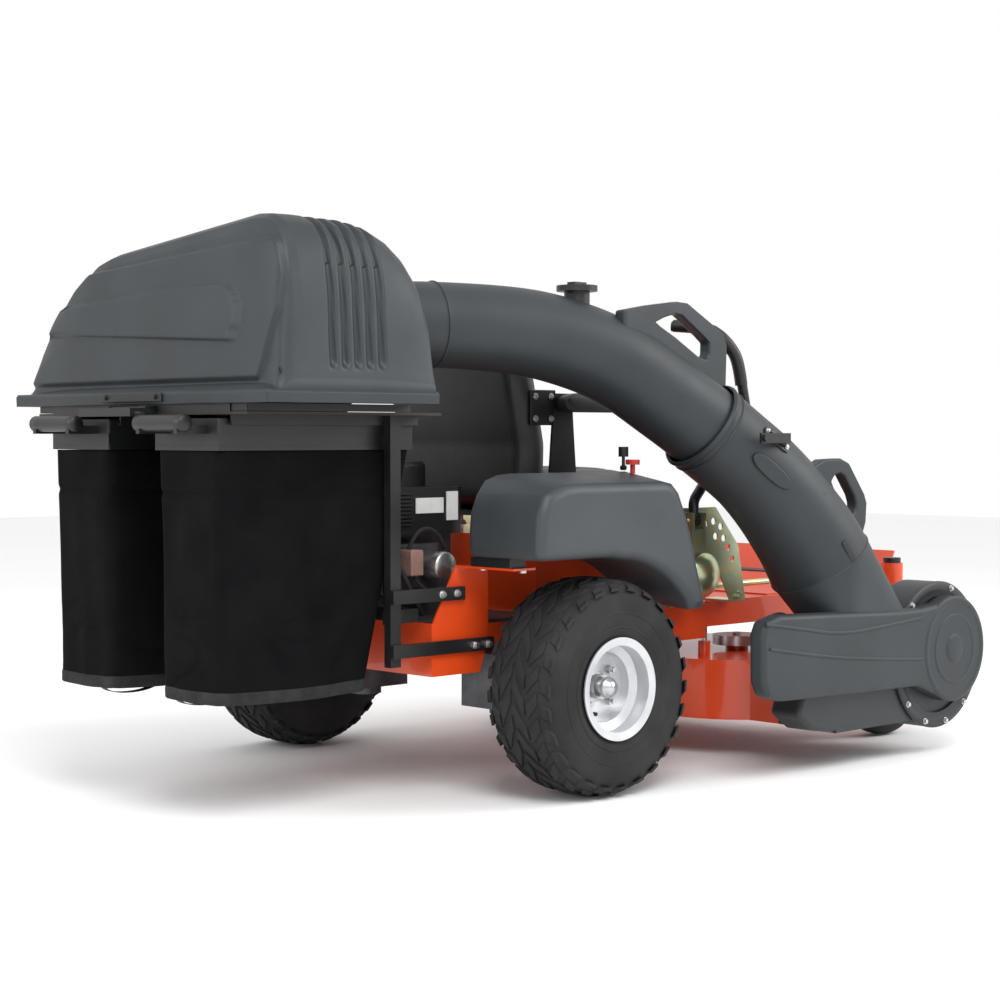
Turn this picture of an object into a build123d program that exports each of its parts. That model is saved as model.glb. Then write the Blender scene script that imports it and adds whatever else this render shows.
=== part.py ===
from build123d import *
import os

# Ride-on zero turn mower with a rear twin-bag catcher and a powered side blower.
# Millimetres. X is forward, Y is left, Z is up, and the origin is on the ground
# under the middle of the rear axle.

os.makedirs("parts", exist_ok=True)

RUN = 0.3  # clearance between pieces that move past each other
PIN_FIT = 0.05  # radial clearance of a shaft in its hole

# Rear wheels
TRACK = 1064
WHEEL_R = 250
WHEEL_W = 200
RIM_R = 117
RIM_SEAT_R = 102
RIM_W = 200
DISC_INSET = 75
DISC_T = 4
STUD_CIRCLE_R = 50.8
STUD_R = 6
HUB_R = 62
AXLE_R = 17
CARCASS = 16

# Frame
FRAME_HALF = 350
RAIL_W = 50
RAIL_H = 60
RAIL_TOP = 390
RAIL_REAR = -319
TUBE_WALL = 4
SHEET = 5
BEAM_X0 = 1260
BEAM_X1 = 1340
BEAM_DROP = 30
GUARD_Z0 = 280
GUARD_Z1 = 360
SIDE_PLATE_TOP = 483
FENDER_LEDGE_OUT = 540
HITCH_R = 9.5

# Front casters
CASTER_X = 1300
CASTER_Y = 450
CASTER_TRAIL = 50
CASTER_R = 140
CASTER_W = 90
CASTER_RIM_R = 76
CASTER_AXLE_R = 9
SWIVEL_R = 15
SWIVEL_TUBE_R = 30
SWIVEL_Z0 = 330
SWIVEL_Z1 = 470

# Deck and blower
DECK_X = 850
BLADE_Y = 270
SKIRT_R = 275
DECK_Z0 = 98
DECK_Z1 = 250
BLADE_R = 267
BLADE_Z = 128
SPINDLE_R = 12
PULLEY_R = 65
SPOUT_X0 = 660
SPOUT_X1 = 1060
SPOUT_Y = -560
BLOWER_X = 1070
BLOWER_Z = 257
BLOWER_R = 188
BLOWER_IN = -655
BLOWER_OUT = -745
COVER_OUT = -790
COVER_X = 1095
COVER_Z = 273
COVER_R = 138
COVER_REAR = 476
COVER_Z0 = 190
COVER_Z1 = 382
IMPELLER_R = 170
SHAFT_R = 12
OUTLET_X0 = 650
OUTLET_X1 = 880

# Chute: centreline stations (x, z, radius) in an upright plane that leans outwards to the front
CHUTE_WALL = 4
CHUTE_PLANE = (-400, -300, -0.293)
UPPER_STATIONS = [
    (-440, 1068, 95),
    (-293, 1070, 96),
    (-118, 1063, 99),
    (-9, 1047, 101),
    (104, 1015, 102),
    (192, 974, 102),
    (279, 919, 102),
    (376, 857, 106),
    (450, 803, 108.9),
]
LOWER_STATIONS = [
    (400, 840, 113),
    (483, 779, 114),
    (548, 728, 115),
    (619, 656, 118),
    (690, 570, 124),
    (735, 500, 130),
]
CHUTE_BASE_Z = 384
PLUG_Z = 1156

# Catcher
LID_X0 = -875
LID_X1 = -419
LID_HALF = 478
LID_Z0 = 890
LID_TOP_R = 1288
LID_TOP_L = 1232
LID_WALL = 5
LID_HINGE_X = -396
LID_HINGE_Z = 1215
LID_PIN_R = 6
BASE_X0 = -865
BASE_X1 = -335
BASE_HALF = 400
BASE_Z = 865
BASE_T = 6
BAG_Y = 205
BAG_W = 230
BAG_X0 = -878
BAG_X1 = -350
BAG_TOP = 790
BAG_BOTTOM = 262
BAG_FOOT_X = -477
BAG_WALL = 5
RIM_TOP = 857
RIM_LIP = 8
LEDGE_T = 5
POST_X = -430
POST_Y = 349
POST_W = 30
BAR_Z0 = 330
BAR_Z1 = 360

# Seat and controls
SEAT_HALF = 240
SEAT_X0 = 110
SEAT_X1 = 540
SEAT_Z = 600
SEAT_HINGE_X = 545
SEAT_BACK_TOP = 1080
ARM_Z = 900
LEVER_X = 484
LEVER_Y = 430
LEVER_Z = 560
BAR_R = 14
BRAKE_X = 455
BRAKE_Z = 575
BRAKE_PIN_R = 6


def block(x0, x1, y0, y1, z0, z1, mode=Mode.ADD):
    """A box between opposite corners."""
    with Locations(((x0 + x1) / 2, (y0 + y1) / 2, (z0 + z1) / 2)):
        Box(x1 - x0, y1 - y0, z1 - z0, mode=mode)


def plate_y(points, y0, y1, mode=Mode.ADD):
    """An outline drawn along X and Z, as thick as y0 to y1."""
    with BuildSketch(Plane.XZ.offset(-y1)) as outline:
        with BuildLine():
            Polyline(*points, close=True)
        make_face()
    extrude(outline.sketch, amount=y1 - y0, mode=mode)


def plate_x(points, x0, x1, mode=Mode.ADD):
    """An outline drawn along Y and Z, as thick as x0 to x1."""
    with BuildSketch(Plane.YZ.offset(x0)) as outline:
        with BuildLine():
            Polyline(*points, close=True)
        make_face()
    extrude(outline.sketch, amount=x1 - x0, mode=mode)


def plate_z(points, z0, z1, mode=Mode.ADD):
    """An outline drawn along X and Y, as thick as z0 to z1."""
    with BuildSketch(Plane.XY.offset(z0)) as outline:
        with BuildLine():
            Polyline(*points, close=True)
        make_face()
    extrude(outline.sketch, amount=z1 - z0, mode=mode)


def rod(start, end, radius, mode=Mode.ADD):
    """A round bar from one point to another."""
    start = Vector(*start)
    end = Vector(*end)
    with BuildSketch(Plane(origin=start, z_dir=end - start)) as section:
        Circle(radius)
    extrude(section.sketch, amount=(end - start).length, mode=mode)


def turned(profile, origin, mode=Mode.ADD):
    """A profile of (distance along Y, radius) turned about the line along Y through the origin."""
    x, y, z = origin
    plane = Plane(origin=(x, y, z), x_dir=(0, 1, 0), z_dir=(1, 0, 0))
    with BuildSketch(plane) as outline:
        with BuildLine():
            Polyline(*profile, close=True)
        make_face()
    revolve(outline.sketch, axis=Axis((x, y, z), (0, 1, 0)), mode=mode)


def between(a, b):
    """The same two values, low one first."""
    return min(a, b), max(a, b)


def keep(part, name):
    """Label a finished piece and write it."""
    part.label = name
    export_step(part, "parts/" + name + ".step")


SIDES = (("left", 1), ("right", -1))


# ---------------------------------------------------------------- rear wheels
def rear_tyre(side):
    mid = side * TRACK / 2
    half = WHEEL_W / 2
    bead = RIM_SEAT_R + RUN
    step = 34
    with BuildPart() as tyre:
        turned(
            [
                (-half + 12, bead),
                (-half + 12, RIM_R + 2),
                (-half + 2, RIM_R + 14),
                (-half, WHEEL_R - 62),
                (-half + 12, WHEEL_R - 24),
                (-half + step, WHEEL_R - 6),
                (-half + 62, WHEEL_R),
                (half - 62, WHEEL_R),
                (half - step, WHEEL_R - 6),
                (half - 12, WHEEL_R - 24),
                (half, WHEEL_R - 62),
                (half - 2, RIM_R + 14),
                (half - 12, RIM_R + 2),
                (half - 12, bead),
                (half - 12 - CARCASS, bead),
                (half - CARCASS, WHEEL_R - 62),
                (half - step, WHEEL_R - 6 - CARCASS),
                (-half + step, WHEEL_R - 6 - CARCASS),
                (-half + CARCASS, WHEEL_R - 62),
                (-half + 12 + CARCASS, bead),
            ],
            (0, mid, WHEEL_R),
        )
    return tyre.part


def rear_rim(side):
    mid = side * TRACK / 2
    half = RIM_W / 2
    wall = 3.5
    well = 18
    disc_y = mid + side * (half - DISC_INSET)
    with BuildPart() as rim:
        turned(
            [
                (-half + 8, RIM_SEAT_R),
                (-half + 8, RIM_R - 6),
                (-half + 4, RIM_R),
                (-half, RIM_R),
                (-half, RIM_R - wall),
                (-half + 4, RIM_SEAT_R - wall),
                (-half + 40, RIM_SEAT_R - wall),
                (-half + 50, RIM_SEAT_R - wall - well),
                (half - 50, RIM_SEAT_R - wall - well),
                (half - 40, RIM_SEAT_R - wall),
                (half - 4, RIM_SEAT_R - wall),
                (half, RIM_R - wall),
                (half, RIM_R),
                (half - 4, RIM_R),
                (half - 8, RIM_R - 6),
                (half - 8, RIM_SEAT_R),
                (half - 40, RIM_SEAT_R),
                (half - 50, RIM_SEAT_R - well),
                (-half + 50, RIM_SEAT_R - well),
                (-half + 40, RIM_SEAT_R),
            ],
            (0, mid, WHEEL_R),
        )
        low, high = between(disc_y, disc_y - side * DISC_T)
        rod((0, low, WHEEL_R), (0, high, WHEEL_R), RIM_SEAT_R - wall - well + 1)
        rod((0, low - 1, WHEEL_R), (0, high + 1, WHEEL_R), 35, Mode.SUBTRACT)
        with PolarLocations(STUD_CIRCLE_R, 4, start_angle=45) as ring:
            studs = [(p.position.X, p.position.Y) for p in ring.locations]
        for x, z in studs:
            start = (x, low - 1, WHEEL_R + z)
            rod(start, (x, high + 1, WHEEL_R + z), STUD_R + 0.5, Mode.SUBTRACT)
    return rim.part


def wheel_hub(side):
    """Axle shaft, flange, four studs and their nuts."""
    disc_out = side * (TRACK / 2 + RIM_W / 2 - DISC_INSET)
    disc_in = disc_out - side * DISC_T
    shaft_in = side * 300
    with BuildPart() as hub:
        rod((0, shaft_in, WHEEL_R), (0, disc_in, WHEEL_R), AXLE_R)
        rod((0, disc_in - side * 12, WHEEL_R), (0, disc_in, WHEEL_R), HUB_R)
        rod((0, disc_in, WHEEL_R), (0, disc_out + side * 18, WHEEL_R), 28)
        rod((0, disc_out + side * 18, WHEEL_R), (0, disc_out + side * 32, WHEEL_R), 16)
        for sx in (-1, 1):
            for sz in (-1, 1):
                x = sx * STUD_CIRCLE_R * 0.70711
                z = WHEEL_R + sz * STUD_CIRCLE_R * 0.70711
                rod((x, disc_in, z), (x, disc_out + side * 22, z), STUD_R)
                rod((x, disc_out, z), (x, disc_out + side * 14, z), 10)
    return hub.part


# ---------------------------------------------------------------- frame
def frame_rail(side):
    """Side tube with its upright rear plate and the ledge that carries the fender."""
    low, high = between(side * FRAME_HALF, side * (FRAME_HALF - RAIL_W))
    with BuildPart() as rail:
        z0 = RAIL_TOP - RAIL_H
        block(RAIL_REAR, BEAM_X0, low, high, z0, RAIL_TOP)
        block(
            RAIL_REAR - 1,
            BEAM_X0 + 1,
            low + TUBE_WALL,
            high - TUBE_WALL,
            z0 + TUBE_WALL,
            RAIL_TOP - TUBE_WALL,
            Mode.SUBTRACT,
        )
        low, high = between(side * FRAME_HALF, side * (FRAME_HALF + SHEET))
        plate_y(
            [
                (RAIL_REAR, GUARD_Z0),
                (RAIL_REAR, GUARD_Z1 + 40),
                (RAIL_REAR + 70, SIDE_PLATE_TOP + 45),
                (-150, SIDE_PLATE_TOP + 45),
                (-150, GUARD_Z1),
                (-175, GUARD_Z0),
            ],
            low,
            high,
        )
        low, high = between(side * (FRAME_HALF + SHEET), side * FENDER_LEDGE_OUT)
        block(RAIL_REAR + 70, -180, low, high, SIDE_PLATE_TOP + 40, SIDE_PLATE_TOP + 45)
        low, high = between(side * FRAME_HALF, side * (FRAME_HALF + SHEET))
        block(300, 620, low, high, DECK_Z1 + 52, RAIL_TOP)
    return rail.part


with BuildPart() as rear_guard:
    inner = FRAME_HALF
    block(RAIL_REAR - SHEET, RAIL_REAR, -inner - SHEET, inner + SHEET, GUARD_Z0, GUARD_Z1 + 40)
    block(RAIL_REAR, RAIL_REAR + 70, -inner, inner, GUARD_Z0, GUARD_Z0 + SHEET)
    rod((-284, 0, GUARD_Z0 - 1), (-284, 0, GUARD_Z0 + SHEET + 1), HITCH_R, Mode.SUBTRACT)

with BuildPart() as front_beam:
    top = RAIL_TOP + BEAM_DROP
    block(BEAM_X0, BEAM_X1, -CASTER_Y, CASTER_Y, RAIL_TOP - BEAM_DROP, top)
    block(
        BEAM_X0 + TUBE_WALL,
        BEAM_X1 - TUBE_WALL,
        -CASTER_Y - 1,
        CASTER_Y + 1,
        RAIL_TOP - BEAM_DROP + TUBE_WALL,
        top - TUBE_WALL,
        Mode.SUBTRACT,
    )
    for name, side in SIDES:
        y = side * CASTER_Y
        rod((CASTER_X, y, SWIVEL_Z0 + 4), (CASTER_X, y, SWIVEL_Z1), SWIVEL_TUBE_R)
        start = (CASTER_X, y, SWIVEL_Z0)
        rod(start, (CASTER_X, y, SWIVEL_Z1 + 1), SWIVEL_R + PIN_FIT, Mode.SUBTRACT)
    # Tongues that carry the rails
    block(BEAM_X0 - 30, BEAM_X0, -FRAME_HALF, -FRAME_HALF + RAIL_W, RAIL_TOP, RAIL_TOP + 8)
    block(BEAM_X0 - 30, BEAM_X0, FRAME_HALF - RAIL_W, FRAME_HALF, RAIL_TOP, RAIL_TOP + 8)

with BuildPart() as foot_pan:
    floor = RAIL_TOP
    block(640, BEAM_X0 - 30, -FRAME_HALF, FRAME_HALF, floor, floor + SHEET)
    top = RAIL_TOP + BEAM_DROP
    plate_y(
        [
            (BEAM_X0, top),
            (BEAM_X1, top),
            (BEAM_X1 + 45, top + 75),
            (BEAM_X1 + 40, top + 78),
            (BEAM_X1 - 4, top + SHEET),
            (BEAM_X0 - 12, top + SHEET),
            (BEAM_X0 - 44, floor + SHEET),
            (BEAM_X0 - 36, floor + SHEET),
            (BEAM_X0 - 34, floor + SHEET),
        ],
        -CASTER_Y + 50,
        CASTER_Y - 50,
    )
    # Ears of the lift pedal's pivot
    for y in (234, 320):
        block(1108, 1132, y, y + 6, floor + SHEET, floor + SHEET + 42)
        rod((1120, y - 1, floor + SHEET + 30), (1120, y + 7, floor + SHEET + 30), 9 + PIN_FIT, Mode.SUBTRACT)
    # Flat treads for the feet
    block(900, 1200, -FRAME_HALF + 20, FRAME_HALF - 20, floor + SHEET, floor + SHEET + 4)

with BuildPart() as seat_deck:
    # Box that carries the seat, open underneath
    block(60, 600, -300, 300, RAIL_TOP, SEAT_Z - 20)
    block(66, 594, -294, 294, RAIL_TOP - 1, SEAT_Z - 26, Mode.SUBTRACT)
    for name, side in SIDES:
        low, high = between(side * 300, side * FRAME_HALF)
        block(60, 600, low, high, RAIL_TOP, RAIL_TOP + SHEET)
    for y in (-160, 120):
        block(SEAT_HINGE_X - 14, SEAT_HINGE_X + 14, y, y + 40, SEAT_Z - 20, SEAT_Z + 16)
        rod((SEAT_HINGE_X, y - 1, SEAT_Z), (SEAT_HINGE_X, y + 41, SEAT_Z), 8 + PIN_FIT, Mode.SUBTRACT)


def fender_outline(x_front, top, inset):
    """Side outline of a fender: sloped back, flat top and a front that sweeps down past the tyre."""
    drop = -3 * inset
    return [
        (-262 + inset, 552 + drop),
        (-262 + inset, 655),
        (-214 + inset, top - 14 - inset),
        (-150, top - inset),
        (x_front - 150 - inset, top - inset),
        (x_front - 80 - inset, top - 60),
        (x_front - 40 - inset, 560),
        (x_front - inset, 415 + drop),
        (x_front - 64 + inset, 415 + drop),
        (x_front - 130, 552 + drop),
    ]


def fender(side):
    """Moulded wheel cover, hollow and open underneath."""
    inner_y = side * (FRAME_HALF + 50)
    outer_y = side * 640

    def shell(inset, mode):
        near = inner_y + side * inset
        far = outer_y - side * inset
        with BuildSketch(Plane.XZ.offset(-near)) as first:
            with BuildLine():
                Polyline(*fender_outline(400, 737, inset), close=True)
            make_face()
        with BuildSketch(Plane.XZ.offset(-far)) as last:
            with BuildLine():
                Polyline(*fender_outline(292, 712, inset), close=True)
            make_face()
        loft([first.sketch, last.sketch], ruled=True, mode=mode)

    with BuildPart() as cover:
        shell(0, Mode.ADD)
        shell(SHEET, Mode.SUBTRACT)
        low, high = between(side * (FRAME_HALF + 55), side * 650)
        rod((0, low, WHEEL_R), (0, high, WHEEL_R), WHEEL_R + 42, Mode.SUBTRACT)
        # Foot that stands on the frame's ledge
        low, high = between(side * (FRAME_HALF + 51), side * (FENDER_LEDGE_OUT - 10))
        block(-249, -200, low, high, SIDE_PLATE_TOP + 45, 552)
        # Bracket down to the rail
        low, high = between(side * (FRAME_HALF - 20), side * (FRAME_HALF + 54))
        block(150, 200, low, high, RAIL_TOP + SHEET, RAIL_TOP + SHEET + 6)
        low, high = between(side * (FRAME_HALF + 50), side * (FRAME_HALF + 54))
        block(150, 200, low, high, RAIL_TOP + SHEET, 560)
    return cover.part


with BuildPart() as engine_block:
    # Mounting plate, crankcase and two finned cylinders
    block(RAIL_REAR + 20, 40, -FRAME_HALF + 2, FRAME_HALF - 2, RAIL_TOP, RAIL_TOP + 8)
    block(-300, -60, -130, 130, RAIL_TOP + 8, 590)
    for side in (-1, 1):
        for step in range(6):
            reach = 140 + step * 12
            low, high = between(side * reach, side * (reach + 6))
            block(-290, -170, low, high, 450, 570)
        low, high = between(side * 130, side * 214)
        block(-270, -190, low, high, 470, 550)

with BuildPart() as engine_shroud:
    with BuildSketch(Plane.XY.offset(590)):
        RectangleRounded(320, 400, 90)
    extrude(amount=110)
    with BuildSketch(Plane.XY.offset(700)):
        Circle(130)
    extrude(amount=60)
    fillet(faces().sort_by(Axis.Z)[-1].edges(), radius=14)

engine_shroud_part = Pos(-200, 0, 0) * engine_shroud.part

with BuildPart() as muffler:
    rod((-130, 232, 470), (20, 232, 470), 46)
    rod((20, 232, 470), (32, 232, 470), 20)
    block(-100, -40, 214, 250, RAIL_TOP + 8, 430)

with BuildPart() as transaxles:
    for name, side in SIDES:
        low, high = between(side * 200, side * 400)
        block(-90, 90, low, high, WHEEL_R - 70, WHEEL_R + 60)
        low, high = between(side * 302, side * 348)
        block(-60, 60, low, high, WHEEL_R + 60, RAIL_TOP - RAIL_H)
        low, high = between(side * 299.7, side * 401)
        rod((0, low, WHEEL_R), (0, high, WHEEL_R), AXLE_R + PIN_FIT, Mode.SUBTRACT)
        rod((0, side * 260, WHEEL_R - 90), (0, side * 260, WHEEL_R - 70), 40)

# ---------------------------------------------------------------- controls
with BuildPart() as lever_brackets:
    # Perforated quadrants that carry the two steering levers
    for name, side in SIDES:
        low, high = between(side * (LEVER_Y - 30), side * (LEVER_Y - 26))
        plate_y(
            [
                (430, RAIL_TOP + SHEET),
                (430, 560),
                (460, 640),
                (600, 640),
                (690, 540),
                (720, RAIL_TOP + SHEET),
                (660, RAIL_TOP + SHEET),
                (600, 500),
                (540, 520),
                (500, RAIL_TOP + SHEET),
            ],
            low,
            high,
        )
        for x, z in ((560, 600), (592, 604), (620, 590), (600, 566), (632, 560), (648, 536), (664, 506)):
            rod((x, low - 1, z), (x, high + 1, z), 9, Mode.SUBTRACT)
        rod((LEVER_X, low - 1, LEVER_Z), (LEVER_X, high + 1, LEVER_Z), 10 + PIN_FIT, Mode.SUBTRACT)
        if side > 0:
            rod((BRAKE_X, low - 1, BRAKE_Z), (BRAKE_X, high + 1, BRAKE_Z), BRAKE_PIN_R + PIN_FIT, Mode.SUBTRACT)
        foot_low, foot_high = between(side * (FRAME_HALF - 40), side * (LEVER_Y - 26))
        block(430, 500, foot_low, foot_high, RAIL_TOP + SHEET, RAIL_TOP + 2 * SHEET)
        block(660, 720, foot_low, foot_high, RAIL_TOP + SHEET, RAIL_TOP + 2 * SHEET)
        post_low, post_high = between(side * (FRAME_HALF - 38), side * (FRAME_HALF - 8))
        block(604, 636, post_low, post_high, RAIL_TOP, RAIL_TOP + SHEET)


def lever_pivot(side):
    """Fore-and-aft hub of a steering lever, with the cross pin that lets the bar swing out."""
    low, high = between(side * (LEVER_Y - 26 + RUN), side * (LEVER_Y + 18))
    with BuildPart() as pivot:
        block(LEVER_X - 26, LEVER_X + 26, low, high, LEVER_Z - 30, LEVER_Z + 70)
        low, high = between(side * (LEVER_Y - 27), side * (LEVER_Y + 19))
        block(LEVER_X - 16, LEVER_X + 16, low, high, LEVER_Z + 28, LEVER_Z + 71, Mode.SUBTRACT)
        rod((LEVER_X - 30, side * LEVER_Y, LEVER_Z + 50), (LEVER_X + 30, side * LEVER_Y, LEVER_Z + 50), 6)
        rod((LEVER_X, side * (LEVER_Y - 44), LEVER_Z), (LEVER_X, side * (LEVER_Y - 25), LEVER_Z), 10)
    return pivot.part


def lap_bar(side):
    """Bent steering bar, parked outwards at rest."""
    y = side * LEVER_Y
    path_points = [
        (LEVER_X, y, LEVER_Z + 58),
        (LEVER_X, y, LEVER_Z + 100),
        (690, y, 875),
        (656, y, 1010),
        (610, side * (LEVER_Y - 40), 1090),
        (560, side * (LEVER_Y - 140), 1100),
    ]
    with BuildPart() as bar:
        with BuildLine() as route:
            FilletPolyline(*path_points, radius=35)
        with BuildSketch(Plane(origin=path_points[0], z_dir=(0, 0, 1))):
            Circle(BAR_R - 1)
        sweep(path=route.line)
        # Eye round the cross pin
        rod((LEVER_X - 15, y, LEVER_Z + 50), (LEVER_X + 15, y, LEVER_Z + 50), 13)
        rod((LEVER_X - 16, y, LEVER_Z + 50), (LEVER_X + 16, y, LEVER_Z + 50), 6 + PIN_FIT, Mode.SUBTRACT)
    return bar.part


with BuildPart() as parking_brake_lever:
    rod((BRAKE_X, LEVER_Y - 47, BRAKE_Z), (BRAKE_X, LEVER_Y - 30 - RUN, BRAKE_Z), 14)
    rod((BRAKE_X, LEVER_Y - 47, BRAKE_Z), (BRAKE_X, LEVER_Y - 26, BRAKE_Z), BRAKE_PIN_R)
    block(BRAKE_X - 5, BRAKE_X + 5, LEVER_Y - 44, LEVER_Y - 34, BRAKE_Z, BRAKE_Z + 170)
    rod((BRAKE_X, LEVER_Y - 39, BRAKE_Z + 165), (BRAKE_X, LEVER_Y - 39, BRAKE_Z + 210), 12)

with BuildPart() as throttle_lever:
    rod((250, -408, 743.5), (250, -408, 778), 4)
    rod((250, -408, 770), (250, -408, 794), 12)
    rod((250, -414, 743.5), (250, -402, 743.5), 6)

with BuildPart() as pto_knob:
    rod((215, -470, 730.6), (215, -470, 752), 6)
    rod((215, -470, 752), (215, -470, 764), 17)

with BuildPart() as fuel_cap:
    rod((0, 500, 731), (0, 500, 737 + 28), 34)

# ---------------------------------------------------------------- seat
with BuildPart() as seat_frame:
    base = SEAT_Z + 20
    block(SEAT_X0 + 20, SEAT_X1 - 20, -SEAT_HALF + 20, SEAT_HALF - 20, base, base + 12)
    for y in (-118, 78):
        block(SEAT_HINGE_X - 12, SEAT_HINGE_X + 12, y, y + 40, SEAT_Z - 12, base + 12)
        block(SEAT_X1 - 30, SEAT_HINGE_X - 12, y, y + 40, base, base + 12)
    rod((SEAT_HINGE_X, -162, SEAT_Z), (SEAT_HINGE_X, 162, SEAT_Z), 8)
    # Back posts with the armrest pins
    for name, side in SIDES:
        low, high = between(side * (SEAT_HALF - 30), side * (SEAT_HALF - 20))
        block(SEAT_X0 + 20, SEAT_X0 + 60, low, high, base, base + 12)
        low, high = between(side * (SEAT_HALF + 3), side * (SEAT_HALF + 9))
        plate_y(
            [(150, base), (260, base), (240, ARM_Z - 40), (236, ARM_Z + 24), (176, ARM_Z + 24), (170, ARM_Z - 40)],
            low,
            high,
        )
        low, high = between(side * (SEAT_HALF - 21), side * (SEAT_HALF + 4))
        block(150, 260, low, high, base, base + 12)
        rod((205, side * (SEAT_HALF + 3), ARM_Z), (205, side * (SEAT_HALF + 52), ARM_Z), 8)

with BuildPart() as seat_cushion:
    base = SEAT_Z + 32 + RUN
    block(SEAT_X0 + 90, SEAT_X1, -SEAT_HALF, SEAT_HALF, base, base + 110)
    fillet(edges(), radius=30)

with BuildPart() as seat_back:
    base = SEAT_Z + 32 + RUN
    plate_y(
        [
            (SEAT_X0 + 20, base),
            (SEAT_X0 + 80, base),
            (SEAT_X0 + 80, 800),
            (SEAT_X0 + 40, SEAT_BACK_TOP),
            (SEAT_X0 - 40, SEAT_BACK_TOP),
            (SEAT_X0 - 20, 800),
        ],
        -SEAT_HALF,
        SEAT_HALF,
    )
    fillet(edges().group_by(Axis.Z)[-1], radius=28)


def armrest(side):
    low, high = between(side * (SEAT_HALF + 10), side * (SEAT_HALF + 58))
    with BuildPart() as arm:
        block(170, 440, low, high, ARM_Z - 22, ARM_Z + 26)
        fillet(edges(), radius=14)
        rod((205, low - 1, ARM_Z), (205, high + 1, ARM_Z), 8 + PIN_FIT, Mode.SUBTRACT)
    return arm.part


# ---------------------------------------------------------------- casters
def caster_fork(side):
    """Swivel stem with two legs and the wheel axle."""
    y = side * CASTER_Y
    half = CASTER_W / 2
    axle_x = CASTER_X - CASTER_TRAIL
    with BuildPart() as fork:
        rod((CASTER_X, y, SWIVEL_Z0 - 20), (CASTER_X, y, SWIVEL_Z1 + 10), SWIVEL_R)
        rod((CASTER_X, y, SWIVEL_Z1 + RUN), (CASTER_X, y, SWIVEL_Z1 + 14), 24)
        block(axle_x - 25, CASTER_X + 30, y - half - 16, y + half + 16, 300, 330)
        for out in (-1, 1):
            low, high = between(y + out * (half + 8), y + out * (half + 16))
            block(axle_x - 25, axle_x + 25, low, high, CASTER_R - 25, 310)
        start = (axle_x, y - half - 22, CASTER_R)
        rod(start, (axle_x, y + half + 22, CASTER_R), CASTER_AXLE_R)
    return fork.part


def caster_tyre(side):
    y = side * CASTER_Y
    half = CASTER_W / 2
    with BuildPart() as tyre:
        turned(
            [
                (-half + 14, CASTER_RIM_R + RUN),
                (-half, CASTER_RIM_R + 16),
                (-half + 4, CASTER_R - 20),
                (-half + 18, CASTER_R - 4),
                (-half + 32, CASTER_R),
                (half - 32, CASTER_R),
                (half - 18, CASTER_R - 4),
                (half - 4, CASTER_R - 20),
                (half, CASTER_RIM_R + 16),
                (half - 14, CASTER_RIM_R + RUN),
            ],
            (CASTER_X - CASTER_TRAIL, y, CASTER_R),
        )
    return tyre.part


def caster_rim(side):
    y = side * CASTER_Y
    half = CASTER_W / 2
    bore = CASTER_AXLE_R + PIN_FIT
    with BuildPart() as rim:
        turned(
            [
                (-half - 7, bore),
                (-half - 7, 20),
                (-18, 24),
                (-18, CASTER_RIM_R - 8),
                (-half + 12, CASTER_RIM_R - 4),
                (-half + 12, CASTER_RIM_R),
                (half - 12, CASTER_RIM_R),
                (half - 12, CASTER_RIM_R - 4),
                (18, CASTER_RIM_R - 8),
                (18, 24),
                (half + 7, 20),
                (half + 7, bore),
            ],
            (CASTER_X - CASTER_TRAIL, y, CASTER_R),
        )
    return rim.part


# ---------------------------------------------------------------- deck
def deck_outline(grow):
    """Plan of the deck: two blade circles joined, with the discharge spout on the right."""
    with BuildSketch(mode=Mode.PRIVATE) as plan:
        with Locations((DECK_X, BLADE_Y), (DECK_X, -BLADE_Y)):
            Circle(SKIRT_R + grow)
        with Locations((DECK_X, 0)):
            Rectangle(2 * (SKIRT_R + grow), 2 * BLADE_Y)
        with Locations(((SPOUT_X0 + SPOUT_X1) / 2, (SPOUT_Y - 300) / 2)):
            Rectangle(SPOUT_X1 - SPOUT_X0 + 2 * grow, -300 - SPOUT_Y)
    return plan.sketch


with BuildPart() as deck_shell:
    extrude(Pos(0, 0, DECK_Z0) * deck_outline(0), amount=DECK_Z1 - DECK_Z0)
    extrude(Pos(0, 0, DECK_Z0 - 1) * deck_outline(-SHEET), amount=DECK_Z1 - DECK_Z0 + 1 - SHEET, mode=Mode.SUBTRACT)
    # Side discharge mouth
    block(SPOUT_X0 + SHEET, SPOUT_X1 - SHEET, SPOUT_Y - 1, SPOUT_Y + SHEET + 1, DECK_Z0 - 1, DECK_Z1 - SHEET, Mode.SUBTRACT)
    for y in (-BLADE_Y, BLADE_Y):
        rod((DECK_X, y, DECK_Z1 - 60), (DECK_X, y, DECK_Z1 + 14), 30)
        rod((DECK_X, y, DECK_Z1 - 61), (DECK_X, y, DECK_Z1 + 15), SPINDLE_R + PIN_FIT, Mode.SUBTRACT)
    for x in (DECK_X - 200, DECK_X + 200):
        for name, side in SIDES:
            y = side * (FRAME_HALF - RAIL_W / 2)
            rod((x, y, DECK_Z1 - SHEET), (x, y, DECK_Z1 + 40), 16)
            rod((x, y, DECK_Z1 - 60), (x, y, DECK_Z1 + 41), 8 + RUN, Mode.SUBTRACT)

with BuildPart() as chassis_bolts:
    # Deck hanger pins under the rails
    for x in (DECK_X - 200, DECK_X + 200):
        for name, side in SIDES:
            y = side * (FRAME_HALF - RAIL_W / 2)
            rod((x, y, 176), (x, y, RAIL_TOP - RAIL_H), 8)
    # Bolts of the catcher bars and the fender ledges
    for name, side in SIDES:
        out = side * (FRAME_HALF + SHEET + 10)
        for x in (-205, -165):
            rod((x, out, (BAR_Z0 + BAR_Z1) / 2), (x, out + side * 8, (BAR_Z0 + BAR_Z1) / 2), 9)
        for y in (FRAME_HALF + 30, FENDER_LEDGE_OUT - 30):
            z = SIDE_PLATE_TOP + 40
            rod((-190, side * y, z - 8), (-190, side * y, z), 9)


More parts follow.
